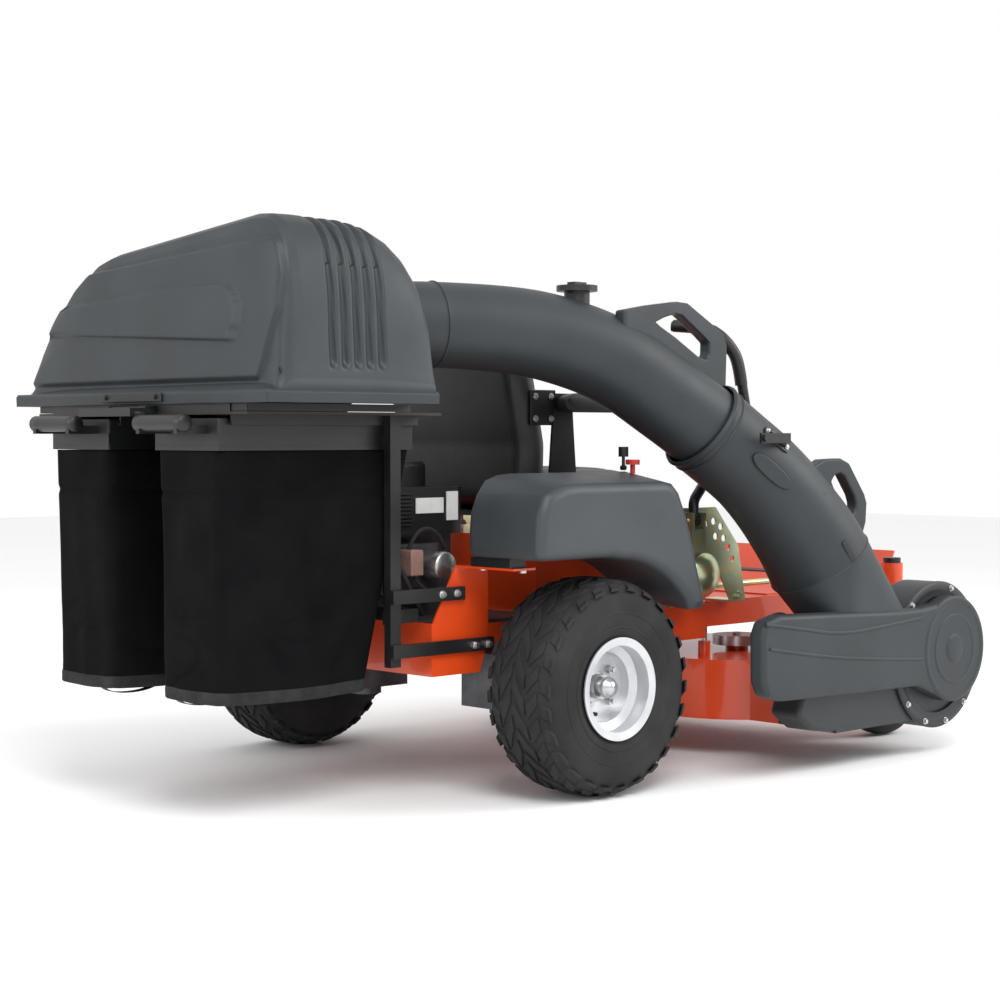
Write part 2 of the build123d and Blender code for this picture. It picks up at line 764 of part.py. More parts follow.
def blade(side):
    """Cutting blade with its spindle and pulley."""
    y = side * BLADE_Y
    with BuildPart() as cutter:
        with Locations((DECK_X, y, BLADE_Z)):
            Box(60, 2 * BLADE_R - 10, 5)
        rod((DECK_X, y, BLADE_Z - 12), (DECK_X, y, DECK_Z1 + 46), SPINDLE_R)
        rod((DECK_X, y, BLADE_Z - 16), (DECK_X, y, BLADE_Z - 2), 22)
        rod((DECK_X, y, BLADE_Z + 2), (DECK_X, y, DECK_Z1 - 61), 26)
        rod((DECK_X, y, DECK_Z1 + 14 + RUN), (DECK_X, y, DECK_Z1 + 40), PULLEY_R)
    return cutter.part


with BuildPart() as lift_pedal:
    rod((1120, 230, RAIL_TOP + SHEET + 30), (1120, 332, RAIL_TOP + SHEET + 30), 9)
    rod((1120, 300, RAIL_TOP + SHEET + 30), (1190, 300, RAIL_TOP + SHEET + 110), 8)
    with Locations(Location((1195, 300, RAIL_TOP + SHEET + 118), (0, -40, 0))):
        Box(70, 50, 8)

# ---------------------------------------------------------------- blower
with BuildPart() as blower_housing:
    # Duct that joins the deck's side mouth to the blower
    block(SPOUT_X0, SPOUT_X1, BLOWER_IN, SPOUT_Y, DECK_Z0, DECK_Z1)
    rod((BLOWER_X, BLOWER_IN, BLOWER_Z), (BLOWER_X, BLOWER_OUT, BLOWER_Z), BLOWER_R)
    block(OUTLET_X0, BLOWER_X, BLOWER_OUT, BLOWER_IN, 95, CHUTE_BASE_Z)
    start = (BLOWER_X, BLOWER_IN - SHEET, BLOWER_Z)
    rod(start, (BLOWER_X, BLOWER_OUT + SHEET, BLOWER_Z), BLOWER_R - SHEET, Mode.SUBTRACT)
    block(
        OUTLET_X0 + SHEET,
        BLOWER_X,
        BLOWER_OUT + SHEET,
        BLOWER_IN - SHEET,
        95 + SHEET,
        CHUTE_BASE_Z - SHEET,
        Mode.SUBTRACT,
    )
    # Inlet from the boot, outlet to the chute, and the shaft's hole
    block(SPOUT_X0 + SHEET, SPOUT_X1 - SHEET, BLOWER_IN - SHEET - 1, SPOUT_Y + 1, DECK_Z0 + SHEET, DECK_Z1 - SHEET, Mode.SUBTRACT)
    block(OUTLET_X0 + 12, OUTLET_X1 - 12, BLOWER_OUT + 12, BLOWER_IN - 12, CHUTE_BASE_Z - 10, CHUTE_BASE_Z + 1, Mode.SUBTRACT)
    rod((BLOWER_X, BLOWER_OUT - 1, BLOWER_Z), (BLOWER_X, BLOWER_OUT + SHEET + 1, BLOWER_Z), SHAFT_R + PIN_FIT, Mode.SUBTRACT)

with BuildPart() as belt_cover:
    thick = BLOWER_OUT - COVER_OUT
    rod((COVER_X, BLOWER_OUT, COVER_Z), (COVER_X, COVER_OUT, COVER_Z), COVER_R)
    plate_y(
        [
            (COVER_REAR, COVER_Z0 + 30),
            (COVER_REAR + 20, COVER_Z0),
            (COVER_X, COVER_Z0 - 40),
            (COVER_X, COVER_Z + COVER_R - 20),
            (940, COVER_Z1),
            (560, COVER_Z1 - 10),
            (COVER_REAR, COVER_Z1 - 60),
        ],
        COVER_OUT + 6,
        BLOWER_OUT,
    )
    # Hollow for the belt and the shaft's end
    rod((COVER_X, BLOWER_OUT + 1, COVER_Z), (COVER_X, COVER_OUT + SHEET, COVER_Z), COVER_R - SHEET, Mode.SUBTRACT)
    plate_y(
        [
            (COVER_REAR + 8, COVER_Z0 + 36),
            (COVER_REAR + 26, COVER_Z0 + 8),
            (COVER_X, COVER_Z0 - 30),
            (COVER_X, COVER_Z + COVER_R - 30),
            (938, COVER_Z1 - 6),
            (562, COVER_Z1 - 16),
            (COVER_REAR + 8, COVER_Z1 - 66),
        ],
        COVER_OUT + 12,
        BLOWER_OUT + 1,
        Mode.SUBTRACT,
    )

with BuildPart() as impeller:
    rod((BLOWER_X, BLOWER_IN - 14, BLOWER_Z), (BLOWER_X, COVER_OUT + 14, BLOWER_Z), SHAFT_R)
    rod((BLOWER_X, BLOWER_OUT + SHEET + 4, BLOWER_Z), (BLOWER_X, BLOWER_OUT + SHEET + 8, BLOWER_Z), 150)
    low = BLOWER_OUT + SHEET + 6
    high = BLOWER_IN - SHEET - 8
    reach = IMPELLER_R
    block(BLOWER_X - reach, BLOWER_X + reach, low, high, BLOWER_Z - 3, BLOWER_Z + 3)
    block(BLOWER_X - 3, BLOWER_X + 3, low, high, BLOWER_Z - reach, BLOWER_Z + reach)


# ---------------------------------------------------------------- chute
def chute_y(x):
    """Sideways place of the chute's centreline at this X."""
    x0, y0, slope = CHUTE_PLANE
    return y0 + slope * (x - x0)


def duct(stations, grow, mode, reach=0):
    """Tube through round sections, each square to the centreline."""
    sections = []
    points = [Vector(x, chute_y(x), z) for x, z, r in stations]
    for i, (x, z, r) in enumerate(stations):
        run = points[min(i + 1, len(points) - 1)] - points[max(i - 1, 0)]
        run = run.normalized()
        centre = points[i]
        if i == 0:
            centre = centre - run * reach
        if i == len(points) - 1:
            centre = centre + run * reach
        sideways = Vector(run.Y, -run.X, 0).normalized()
        with BuildSketch(Plane(origin=centre, x_dir=sideways, z_dir=run)) as section:
            Circle(r + grow)
        sections.append(section.sketch)
    loft(sections, ruled=True, mode=mode)


def loop_handle(outer, inner, x_mid, half):
    """Moulded carrying loop that stands on top of the chute."""
    y = chute_y(x_mid)
    plate_y(outer, y - half, y + half)
    plate_y(inner, y - half - 1, y + half + 1, Mode.SUBTRACT)


with BuildPart() as upper_chute:
    loop_handle(
        [(190, 1060), (300, 1130), (400, 1150), (470, 1095), (470, 960), (430, 900), (300, 960), (200, 1040)],
        [(300, 1085), (330, 1105), (385, 1112), (430, 1075), (430, 1010), (395, 985), (330, 1045)],
        330,
        17,
    )
    duct(UPPER_STATIONS, 0, Mode.ADD)
    plug_y = chute_y(60)
    rod((60, plug_y, 1080), (60, plug_y, PLUG_Z), 40)
    duct(UPPER_STATIONS, -CHUTE_WALL, Mode.SUBTRACT, 1)
    rod((60, plug_y, 1000), (60, plug_y, PLUG_Z + 1), 30 + RUN, Mode.SUBTRACT)

LATCH_X = 430
LATCH_Z = 815
LATCH_Y = chute_y(LATCH_X + 110) - 115
with BuildPart() as lower_chute:
    # Boss for the strap latch
    rod((LATCH_X, chute_y(LATCH_X) - 80, LATCH_Z), (LATCH_X, LATCH_Y + RUN, LATCH_Z), 9)
    loop_handle(
        [(640, 760), (740, 835), (800, 830), (850, 780), (850, 660), (820, 600), (720, 640)],
        [(720, 742), (752, 790), (790, 788), (812, 760), (812, 690), (770, 690)],
        740,
        17,
    )
    duct(LOWER_STATIONS, 0, Mode.ADD)
    last_x, last_z, last_r = LOWER_STATIONS[-1]
    mouth_x = (OUTLET_X0 + OUTLET_X1) / 2
    mouth_y = (BLOWER_IN + BLOWER_OUT) / 2
    run = Vector(45, chute_y(735) - chute_y(690), -70).normalized()
    throat = Plane(
        origin=(last_x, chute_y(last_x), last_z),
        x_dir=Vector(run.Y, -run.X, 0).normalized(),
        z_dir=run,
    )
    with BuildSketch(throat) as neck:
        Circle(last_r)
    with BuildSketch(Plane.XY.offset(CHUTE_BASE_Z)) as foot:
        with Locations((mouth_x + 20, mouth_y + 20)):
            RectangleRounded(290, 210, 40)
    loft([neck.sketch, foot.sketch])
    duct(LOWER_STATIONS, -CHUTE_WALL, Mode.SUBTRACT, 1)
    with BuildSketch(throat) as neck_in:
        Circle(last_r - CHUTE_WALL)
    with BuildSketch(Plane.XY.offset(CHUTE_BASE_Z - 1)) as foot_in:
        with Locations((mouth_x, mouth_y)):
            RectangleRounded(OUTLET_X1 - OUTLET_X0 - 24, BLOWER_IN - BLOWER_OUT - 24, 20)
    loft([neck_in.sketch, foot_in.sketch], mode=Mode.SUBTRACT)

with BuildPart() as chute_latch:
    # Strap that pulls the two halves of the chute together
    block(LATCH_X - 12, LATCH_X + 100, LATCH_Y - 6, LATCH_Y, LATCH_Z - 12, LATCH_Z + 12)
    rod((LATCH_X, LATCH_Y - 14, LATCH_Z), (LATCH_X, LATCH_Y - 5, LATCH_Z), 9)

with BuildPart() as sight_plug:
    rod((60, plug_y, 1095), (60, plug_y, PLUG_Z + RUN), 30)
    rod((60, plug_y, PLUG_Z + RUN), (60, plug_y, PLUG_Z + 14), 48)
    block(40, 80, plug_y - 12, plug_y + 12, PLUG_Z + 14, PLUG_Z + 22)

# ---------------------------------------------------------------- catcher
with BuildPart() as bagger_frame:
    for name, side in SIDES:
        low, high = between(side * (FRAME_HALF + SHEET), side * (FRAME_HALF + SHEET + 10))
        block(POST_X - POST_W / 2, -140, low, high, BAR_Z0, BAR_Z1)
        block(POST_X - POST_W / 2, -230, low, high, BAR_Z0 + 120, BAR_Z1 + 120)
        low, high = between(side * (FRAME_HALF + SHEET - 21), side * (FRAME_HALF + SHEET))
        block(POST_X - POST_W / 2, POST_X + POST_W / 2, low, high, BAR_Z0 - 20, BASE_Z)

with BuildPart() as cross_tie:
    tie = FRAME_HALF + SHEET - 21
    block(POST_X + 55, POST_X + 85, -tie, tie, BAR_Z1 + 44, BAR_Z1 + 74)
    for name, side in SIDES:
        low, high = between(side * (tie - 6), side * tie)
        block(POST_X - POST_W / 2, POST_X + 85, low, high, BAR_Z1 + 44, BAR_Z1 + 74)

BAG_LIP = BAG_W / 2 + RIM_LIP
with BuildPart() as hood_base:
    block(BASE_X0, BASE_X1, -BASE_HALF, BASE_HALF, BASE_Z, BASE_Z + BASE_T)
    for name, side in SIDES:
        y = side * BAG_Y
        block(BAG_X0 + 60, LID_X1 - 10, y - 90, y + 90, BASE_Z - 1, BASE_Z + BASE_T + 1, Mode.SUBTRACT)
        # Ledges that the bag's rim slides on
        outer = y + side * (BAG_LIP + RUN)
        low, high = between(outer, outer + side * LEDGE_T)
        block(BASE_X0 + 10, BASE_X1 - 10, low, high, RIM_TOP - RIM_LIP - LEDGE_T, BASE_Z)
        low, high = between(outer - side * RIM_LIP, outer + side * LEDGE_T)
        top = RIM_TOP - RIM_LIP - RUN
        block(BASE_X0 + 10, BASE_X1 - 10, low, high, top - LEDGE_T, top)
        inner = y - side * (BAG_LIP + RUN)
        low, high = between(inner, inner - side * LEDGE_T)
        block(BASE_X0 + 10, BASE_X1 - 10, low, high, RIM_TOP - RIM_LIP - LEDGE_T, BASE_Z)
        low, high = between(inner + side * RIM_LIP, inner - side * LEDGE_T)
        block(BASE_X0 + 10, BASE_X1 - 10, low, high, top - LEDGE_T, top)
    # Rib under the lid's rear lip
    block(BASE_X0, BASE_X0 + 30, -BASE_HALF + 60, BASE_HALF - 60, BASE_Z + BASE_T, LID_Z0 - RUN)
    # Bracket on the rear edge that holds the release paddle's pin
    for y in (-78, 62):
        block(BASE_X0 - 30, BASE_X0, y, y + 16, BASE_Z, BASE_Z + 20)
        rod((-884, y - 1, 876), (-884, y + 17, 876), 8 + PIN_FIT, Mode.SUBTRACT)
    # Hinge arms
    for y in (40, 190):
        block(LID_HINGE_X - 12, LID_HINGE_X + 14, y, y + 12, BASE_Z + BASE_T, LID_HINGE_Z + 14)
        rod((LID_HINGE_X, y - 1, LID_HINGE_Z), (LID_HINGE_X, y + 13, LID_HINGE_Z), LID_PIN_R + PIN_FIT, Mode.SUBTRACT)

DUCT_Y = -297
DUCT_Z = 1068
DUCT_GAP_R = 108
with BuildPart() as chute_inlet_panel:
    panel_x = LID_X1 + 6
    block(panel_x, panel_x + SHEET, -BASE_HALF, DUCT_Y + 150, BASE_Z + BASE_T, 1225)
    for drop in (-52, -26, 0, 26):
        start = (panel_x - 1, DUCT_Y, DUCT_Z + drop)
        rod(start, (panel_x + SHEET + 1, DUCT_Y, DUCT_Z + drop), DUCT_GAP_R, Mode.SUBTRACT)
    block(panel_x - 1, panel_x + SHEET + 1, DUCT_Y - DUCT_GAP_R, DUCT_Y + DUCT_GAP_R, DUCT_Z - 52, DUCT_Z + 26, Mode.SUBTRACT)


def lid_section(inset):
    """Rear outline of the lid along Y and Z: high on the right, stepped down on the left."""
    return [
        (-LID_HALF + inset, LID_Z0 - 2 * inset),
        (-LID_HALF + inset, LID_Z0 + 20),
        (-LID_HALF + 18 + inset, LID_Z0 + 110),
        (-LID_HALF + 26 + inset, 1170),
        (-LID_HALF + 50 + inset, 1250 - inset / 2),
        (-390, LID_TOP_R - inset),
        (200, LID_TOP_L - inset),
        (330 - inset, 1180 - inset),
        (LID_HALF - 30 - inset, 1050 - inset),
        (LID_HALF - inset, LID_Z0 + 20),
        (LID_HALF - inset, LID_Z0 - 2 * inset),
    ]


def lid_profile(inset):
    """Side outline of the lid along X and Z: upright front that rounds over to the top."""
    return [
        (LID_X0 + inset, LID_Z0 - 2 * inset),
        (LID_X0 + inset, LID_Z0 + 20),
        (LID_X0 + 42 + inset, LID_Z0 + 60),
        (LID_X0 + 70 + inset, LID_TOP_R + 20 - inset),
        (-540, LID_TOP_R + 10 - inset),
        (-470 - inset / 2, 1262 - inset),
        (-434 - inset, 1215 - inset / 2),
        (LID_X1 - inset, 1140),
        (LID_X1 - inset, LID_Z0 - 2 * inset),
    ]


def lid_body(inset):
    """The solid common to the rear and side outlines."""
    with BuildPart() as body:
        plate_x(lid_section(inset), LID_X0 - 5, LID_X1 + 5)
        plate_y(lid_profile(inset), -LID_HALF - 5, LID_HALF + 5, Mode.INTERSECT)
    return body.part


with BuildPart() as lid:
    add(lid_body(0))
    add(lid_body(LID_WALL), mode=Mode.SUBTRACT)
    # Stiffening flange at the rear, which rests on the base
    block(LID_X0 + 2, BASE_X0 + 30, -BASE_HALF, BASE_HALF, LID_Z0, LID_Z0 + 4)
    # Notch for the chute
    block(LID_X1 - 60, LID_X1 + 10, DUCT_Y - DUCT_GAP_R - 8, DUCT_Y + DUCT_GAP_R + 8, LID_Z0 - 5, DUCT_Z, Mode.SUBTRACT)
    for rise in (0, 30):
        start = (LID_X1 - 60, DUCT_Y, DUCT_Z + rise)
        rod(start, (LID_X1 + 10, DUCT_Y, DUCT_Z + rise), DUCT_GAP_R + 8, Mode.SUBTRACT)
    # Hinge ears with their pins
    for y in (52 + RUN, 178 - RUN):
        block(-445, LID_HINGE_X + 12, y, y + 12, LID_HINGE_Z - 12, LID_HINGE_Z + 12)
    rod((LID_HINGE_X, 39, LID_HINGE_Z), (LID_HINGE_X, 60, LID_HINGE_Z), LID_PIN_R)
    rod((LID_HINGE_X, 182, LID_HINGE_Z), (LID_HINGE_X, 203, LID_HINGE_Z), LID_PIN_R)

with BuildPart() as lid_latch:
    # Release paddle between the two bag handles
    rod((-884, -79, 876), (-884, 79, 876), 8)
    block(-904, -884, -60, 60, 872, 880)
    block(-940, -902, -100, 100, 872, 880)
    block(-948, -936, -100, 100, 862, 880)


def bag_rim(side):
    """Stiff collar at the mouth of a bag, with its sliding lips and the carrying handle."""
    y = side * BAG_Y
    half = BAG_W / 2
    with BuildPart() as rim:
        block(BAG_X0, BAG_X1, y - half, y + half, BAG_TOP, RIM_TOP)
        block(BAG_X0 + 40, BAG_X1 - 2, y - BAG_LIP, y + BAG_LIP, RIM_TOP - RIM_LIP, RIM_TOP)
        block(BAG_X0 + 6, BAG_X1 - 6, y - half + 6, y + half - 6, BAG_TOP - 1, RIM_TOP + 1, Mode.SUBTRACT)
        for out in (-1, 1):
            edge = y + out * 68
            block(BAG_X0 - 76, BAG_X0, edge - 6, edge + 6, RIM_TOP - 32, RIM_TOP - 14)
        rod((BAG_X0 - 62, y - 84, RIM_TOP - 10), (BAG_X0 - 62, y + 84, RIM_TOP - 10), 17)
    return rim.part


def bag(side):
    """Cloth bag, hollow and open at the top."""
    y = side * BAG_Y
    half = BAG_W / 2

    def sack(inset, mode):
        with BuildSketch(Plane.XY.offset(BAG_BOTTOM + inset)) as bottom:
            x0 = BAG_X0 + 8 + inset
            x1 = BAG_FOOT_X - inset
            with Locations(((x0 + x1) / 2, y)):
                RectangleRounded(x1 - x0, BAG_W - 8 - 2 * inset, 24)
        with BuildSketch(Plane.XY.offset(BAG_TOP - RUN + inset / 10)) as mouth:
            x0 = BAG_X0 + inset
            x1 = BAG_X1 - inset
            with Locations(((x0 + x1) / 2, y)):
                RectangleRounded(x1 - x0, BAG_W - 2 * inset, 24)
        loft([bottom.sketch, mouth.sketch], mode=mode)

    with BuildPart() as sack_part:
        sack(0, Mode.ADD)
        sack(BAG_WALL, Mode.SUBTRACT)
    return sack_part.part


# ---------------------------------------------------------------- write the pieces
for name, side in SIDES:
    keep(rear_tyre(side), name + "_rear_tyre")
    keep(rear_rim(side), name + "_rear_rim")
    keep(wheel_hub(side), name + "_wheel_hub")
    keep(frame_rail(side), name + "_frame_rail")
    keep(fender(side), name + "_fender")
    keep(lever_pivot(side), name + "_lever_pivot")
    keep(lap_bar(side), name + "_lap_bar")
    keep(armrest(side), name + "_armrest")
    keep(caster_fork(side), name + "_caster_fork")
    keep(caster_tyre(side), name + "_caster_tyre")
    keep(caster_rim(side), name + "_caster_rim")
    keep(blade(side), name + "_blade")
    keep(bag_rim(side), name + "_bag_rim")
    keep(bag(side), name + "_bag")

keep(rear_guard.part, "rear_guard")
keep(front_beam.part, "front_beam")
keep(foot_pan.part, "foot_pan")
keep(seat_deck.part, "seat_deck")
keep(engine_block.part, "engine_block")
keep(engine_shroud_part, "engine_shroud")
keep(muffler.part, "muffler")
keep(transaxles.part, "transaxles")
keep(lever_brackets.part, "lever_brackets")
keep(parking_brake_lever.part, "parking_brake_lever")
keep(throttle_lever.part, "throttle_lever")
keep(pto_knob.part, "pto_knob")
keep(fuel_cap.part, "fuel_cap")
keep(seat_frame.part, "seat_frame")
keep(seat_cushion.part, "seat_cushion")
keep(seat_back.part, "seat_back")
keep(deck_shell.part, "deck_shell")
keep(chassis_bolts.part, "chassis_bolts")
keep(lift_pedal.part, "lift_pedal")
keep(blower_housing.part, "blower_housing")
keep(belt_cover.part, "belt_cover")
keep(impeller.part, "impeller")
keep(upper_chute.part, "upper_chute")
keep(lower_chute.part, "lower_chute")
keep(chute_latch.part, "chute_latch")
keep(sight_plug.part, "sight_plug")
keep(bagger_frame.part, "bagger_frame")
keep(cross_tie.part, "cross_tie")
keep(hood_base.part, "hood_base")
keep(chute_inlet_panel.part, "chute_inlet_panel")
keep(lid.part, "lid")
keep(lid_latch.part, "lid_latch")
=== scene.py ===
import bpy
import bmesh
import math
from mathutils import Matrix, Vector, noise


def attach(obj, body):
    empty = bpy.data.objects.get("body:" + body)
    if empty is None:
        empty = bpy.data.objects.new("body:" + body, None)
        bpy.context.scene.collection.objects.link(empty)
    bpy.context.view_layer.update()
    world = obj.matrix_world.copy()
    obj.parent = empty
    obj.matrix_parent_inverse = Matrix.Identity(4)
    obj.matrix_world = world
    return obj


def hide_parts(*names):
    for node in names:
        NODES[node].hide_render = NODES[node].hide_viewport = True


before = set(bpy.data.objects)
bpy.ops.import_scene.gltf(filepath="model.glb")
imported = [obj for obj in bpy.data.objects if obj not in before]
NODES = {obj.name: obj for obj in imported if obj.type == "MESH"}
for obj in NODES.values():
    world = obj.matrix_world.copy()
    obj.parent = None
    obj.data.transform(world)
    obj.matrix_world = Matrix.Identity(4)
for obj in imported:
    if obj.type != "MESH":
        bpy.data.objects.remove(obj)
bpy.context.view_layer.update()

MM = 0.001
REAR_Y = 532
REAR_Z = 250
CASTER = (1250, 450, 140)
BAG_Y = 205


# ------------------------------------------------------------------ materials
def material(name, base, rough=0.6, metal=0.0, spec=0.5, coat=0.0, sheen=0.0):
    m = bpy.data.materials.new(name)
    m.use_nodes = True
    b = m.node_tree.nodes["Principled BSDF"]
    b.inputs["Base Color"].default_value = (*base, 1)
    b.inputs["Roughness"].default_value = rough
    b.inputs["Metallic"].default_value = metal
    b.inputs["Specular IOR Level"].default_value = spec
    b.inputs["Coat Weight"].default_value = coat
    b.inputs["Sheen Weight"].default_value = sheen
    return m


def node(m, kind, **values):
    n = m.node_tree.nodes.new(kind)
    for key, value in values.items():
        setattr(n, key, value)
    return n


def link(m, a, b):
    m.node_tree.links.new(a, b)


def coords(m):
    return node(m, "ShaderNodeTexCoord").outputs["Object"]


def vary(m, low, high, scale, detail=4.0, stretch=(1, 1, 1)):
    """Base colour that drifts between two tones."""
    mapping = node(m, "ShaderNodeMapping")
    mapping.inputs["Scale"].default_value = stretch
    link(m, coords(m), mapping.inputs["Vector"])
    n = node(m, "ShaderNodeTexNoise")
    n.inputs["Scale"].default_value = scale
    n.inputs["Detail"].default_value = detail
    link(m, mapping.outputs["Vector"], n.inputs["Vector"])
    ramp = node(m, "ShaderNodeValToRGB")
    ramp.color_ramp.elements[0].position = 0.3
    ramp.color_ramp.elements[1].position = 0.7
    ramp.color_ramp.elements[0].color = (*low, 1)
    ramp.color_ramp.elements[1].color = (*high, 1)
    link(m, n.outputs["Fac"], ramp.inputs["Fac"])
    link(m, ramp.outputs["Color"], m.node_tree.nodes["Principled BSDF"].inputs["Base Color"])
    return ramp


def rough_vary(m, low, high, scale):
    n = node(m, "ShaderNodeTexNoise")
    n.inputs["Scale"].default_value = scale
    n.inputs["Detail"].default_value = 5
    link(m, coords(m), n.inputs["Vector"])
    mr = node(m, "ShaderNodeMapRange")
    mr.inputs["To Min"].default_value = low
    mr.inputs["To Max"].default_value = high
    link(m, n.outputs["Fac"], mr.inputs["Value"])
    link(m, mr.outputs["Result"], m.node_tree.nodes["Principled BSDF"].inputs["Roughness"])


def bump(m, sources, strength, distance):
    """Bump from a list of (texture output, weight)."""
    total = None
    for out, weight in sources:
        mul = node(m, "ShaderNodeMath", operation="MULTIPLY")
        mul.inputs[1].default_value = weight
        link(m, out, mul.inputs[0])
        if total is None:
            total = mul.outputs[0]
        else:
            plus = node(m, "ShaderNodeMath", operation="ADD")
            link(m, total, plus.inputs[0])
            link(m, mul.outputs[0], plus.inputs[1])
            total = plus.outputs[0]
    b = node(m, "ShaderNodeBump")
    b.inputs["Strength"].default_value = strength
    b.inputs["Distance"].default_value = distance
    link(m, total, b.inputs["Height"])
    link(m, b.outputs["Normal"], m.node_tree.nodes["Principled BSDF"].inputs["Normal"])


def noise_out(m, scale, detail=3.0):
    n = node(m, "ShaderNodeTexNoise")
    n.inputs["Scale"].default_value = scale
    n.inputs["Detail"].default_value = detail
    link(m, coords(m), n.inputs["Vector"])
    return n.outputs["Fac"]


def voronoi_out(m, scale):
    n = node(m, "ShaderNodeTexVoronoi")
    n.inputs["Scale"].default_value = scale
    link(m, coords(m), n.inputs["Vector"])
    return n.outputs["Distance"]


def wave_out(m, scale, axis):
    n = node(m, "ShaderNodeTexWave", bands_direction=axis)
    n.inputs["Scale"].default_value = scale
    link(m, coords(m), n.inputs["Vector"])
    return n.outputs["Fac"]


SLATE = material("slate_plastic", (0.045, 0.052, 0.058), 0.52, spec=0.45)
vary(SLATE, (0.0165, 0.0205, 0.0235), (0.0225, 0.0275, 0.031), 6)
rough_vary(SLATE, 0.44, 0.60, 9)
bump(SLATE, [(voronoi_out(SLATE, 900), 0.7), (noise_out(SLATE, 60), 0.5)], 0.16, 0.0006)

FENDER = material("fender_plastic", (0.075, 0.088, 0.098), 0.5, spec=0.45)
vary(FENDER, (0.030, 0.036, 0.040), (0.039, 0.046, 0.052), 6)
rough_vary(FENDER, 0.42, 0.58, 9)
bump(FENDER, [(voronoi_out(FENDER, 900), 0.7), (noise_out(FENDER, 50), 0.4)], 0.15, 0.0006)

BLACK = material("black_plastic", (0.012, 0.013, 0.014), 0.42)
vary(BLACK, (0.006, 0.0065, 0.007), (0.011, 0.0115, 0.0125), 8)
bump(BLACK, [(voronoi_out(BLACK, 700), 1.0)], 0.12, 0.0005)

BOOT = material("boot_plastic", (0.022, 0.025, 0.028), 0.5)
vary(BOOT, (0.012, 0.014, 0.016), (0.018, 0.021, 0.024), 8)
bump(BOOT, [(voronoi_out(BOOT, 700), 1.0)], 0.12, 0.0005)

STEEL_BLACK = material("black_paint", (0.012, 0.012, 0.013), 0.36, metal=0.2)
vary(STEEL_BLACK, (0.010, 0.010, 0.011), (0.020, 0.020, 0.021), 12)
bump(STEEL_BLACK, [(noise_out(STEEL_BLACK, 300), 1.0)], 0.10, 0.0004)

RED = material("red_paint", (0.62, 0.055, 0.008), 0.32, coat=0.4)
vary(RED, (0.56, 0.045, 0.006), (0.68, 0.065, 0.010), 5)
bump(RED, [(noise_out(RED, 260), 1.0)], 0.05, 0.0003)

RIM = material("rim_paint", (0.62, 0.63, 0.65), 0.33, metal=0.55)
vary(RIM, (0.55, 0.56, 0.58), (0.68, 0.69, 0.71), 14)
bump(RIM, [(noise_out(RIM, 200), 1.0)], 0.08, 0.0004)

ZINC = material("zinc_plate", (0.62, 0.52, 0.22), 0.3, metal=0.9)
ramp = vary(ZINC, (0.55, 0.50, 0.26), (0.78, 0.62, 0.28), 22)
mid = ramp.color_ramp.elements.new(0.5)
mid.color = (0.50, 0.60, 0.42, 1)
bump(ZINC, [(noise_out(ZINC, 150), 1.0)], 0.12, 0.0005)

METAL = material("cast_metal", (0.10, 0.10, 0.11), 0.5, metal=0.7)
vary(METAL, (0.06, 0.06, 0.065), (0.15, 0.15, 0.16), 14)
bump(METAL, [(noise_out(METAL, 120), 1.0)], 0.3, 0.001)

BRIGHT = material("bright_steel", (0.55, 0.55, 0.56), 0.3, metal=0.95)
rough_vary(BRIGHT, 0.2, 0.45, 40)
bump(BRIGHT, [(noise_out(BRIGHT, 200), 1.0)], 0.08, 0.0004)

RUBBER = material("tyre_rubber", (0.016, 0.016, 0.017), 0.78, spec=0.3)
vary(RUBBER, (0.012, 0.012, 0.013), (0.026, 0.026, 0.027), 9)
bump(RUBBER, [(noise_out(RUBBER, 260), 0.6), (voronoi_out(RUBBER, 500), 0.4)], 0.25, 0.0007)

CLOTH = material("bag_cloth", (0.004, 0.004, 0.0045), 0.9, spec=0.08)
vary(CLOTH, (0.0028, 0.0028, 0.0034), (0.0055, 0.0055, 0.0062), 10)
bump(CLOTH, [(wave_out(CLOTH, 260, "Z"), 0.5), (wave_out(CLOTH, 260, "DIAGONAL"), 0.5), (noise_out(CLOTH,
    35), 0.9)], 0.35, 0.0009)

HEM = material("bag_hem", (0.02, 0.02, 0.02), 0.85, spec=0.2)
vary(HEM, (0.016, 0.016, 0.016), (0.030, 0.030, 0.030), 30)
bump(HEM, [(wave_out(HEM, 300, "X"), 1.0)], 0.4, 0.0008)

VINYL = material("seat_vinyl", (0.014, 0.014, 0.015), 0.46)
vary(VINYL, (0.011, 0.011, 0.012), (0.020, 0.020, 0.021), 8)
bump(VINYL, [(voronoi_out(VINYL, 260), 0.8), (noise_out(VINYL, 20), 0.6)], 0.3, 0.001)

LABEL = material("blank_label", (0.72, 0.72, 0.70), 0.45)
vary(LABEL, (0.68, 0.68, 0.66), (0.76, 0.76, 0.74), 30)
PINK = material("faded_box", (0.30, 0.17, 0.15), 0.6)
vary(PINK, (0.24, 0.13, 0.11), (0.36, 0.21, 0.18), 20)
KNOB_RED = material("red_knob", (0.45, 0.02, 0.015), 0.35)
vary(KNOB_RED, (0.40, 0.018, 0.012), (0.50, 0.025, 0.02), 20)
MAT_GREY = material("foot_mat", (0.06, 0.065, 0.075), 0.8)
vary(MAT_GREY, (0.05, 0.055, 0.065), (0.075, 0.08, 0.09), 20)
bump(MAT_GREY, [(wave_out(MAT_GREY, 40, "Y"), 1.0)], 0.5, 0.002)
FLOOR = material("floor", (0.90, 0.90, 0.90), 0.9)
vary(FLOOR, (0.89, 0.89, 0.89), (0.91, 0.91, 0.91), 0.6)


def paint(names, mat):
    for name in names:
        obj = NODES[name]
        if not obj.material_slots:
            obj.data.materials.append(mat)
        for s in obj.material_slots:
            s.link = "OBJECT"
            s.material = mat


SIDES = (("left", 1), ("right", -1))


def both(tail):
    return [side + tail for side, sign in SIDES]


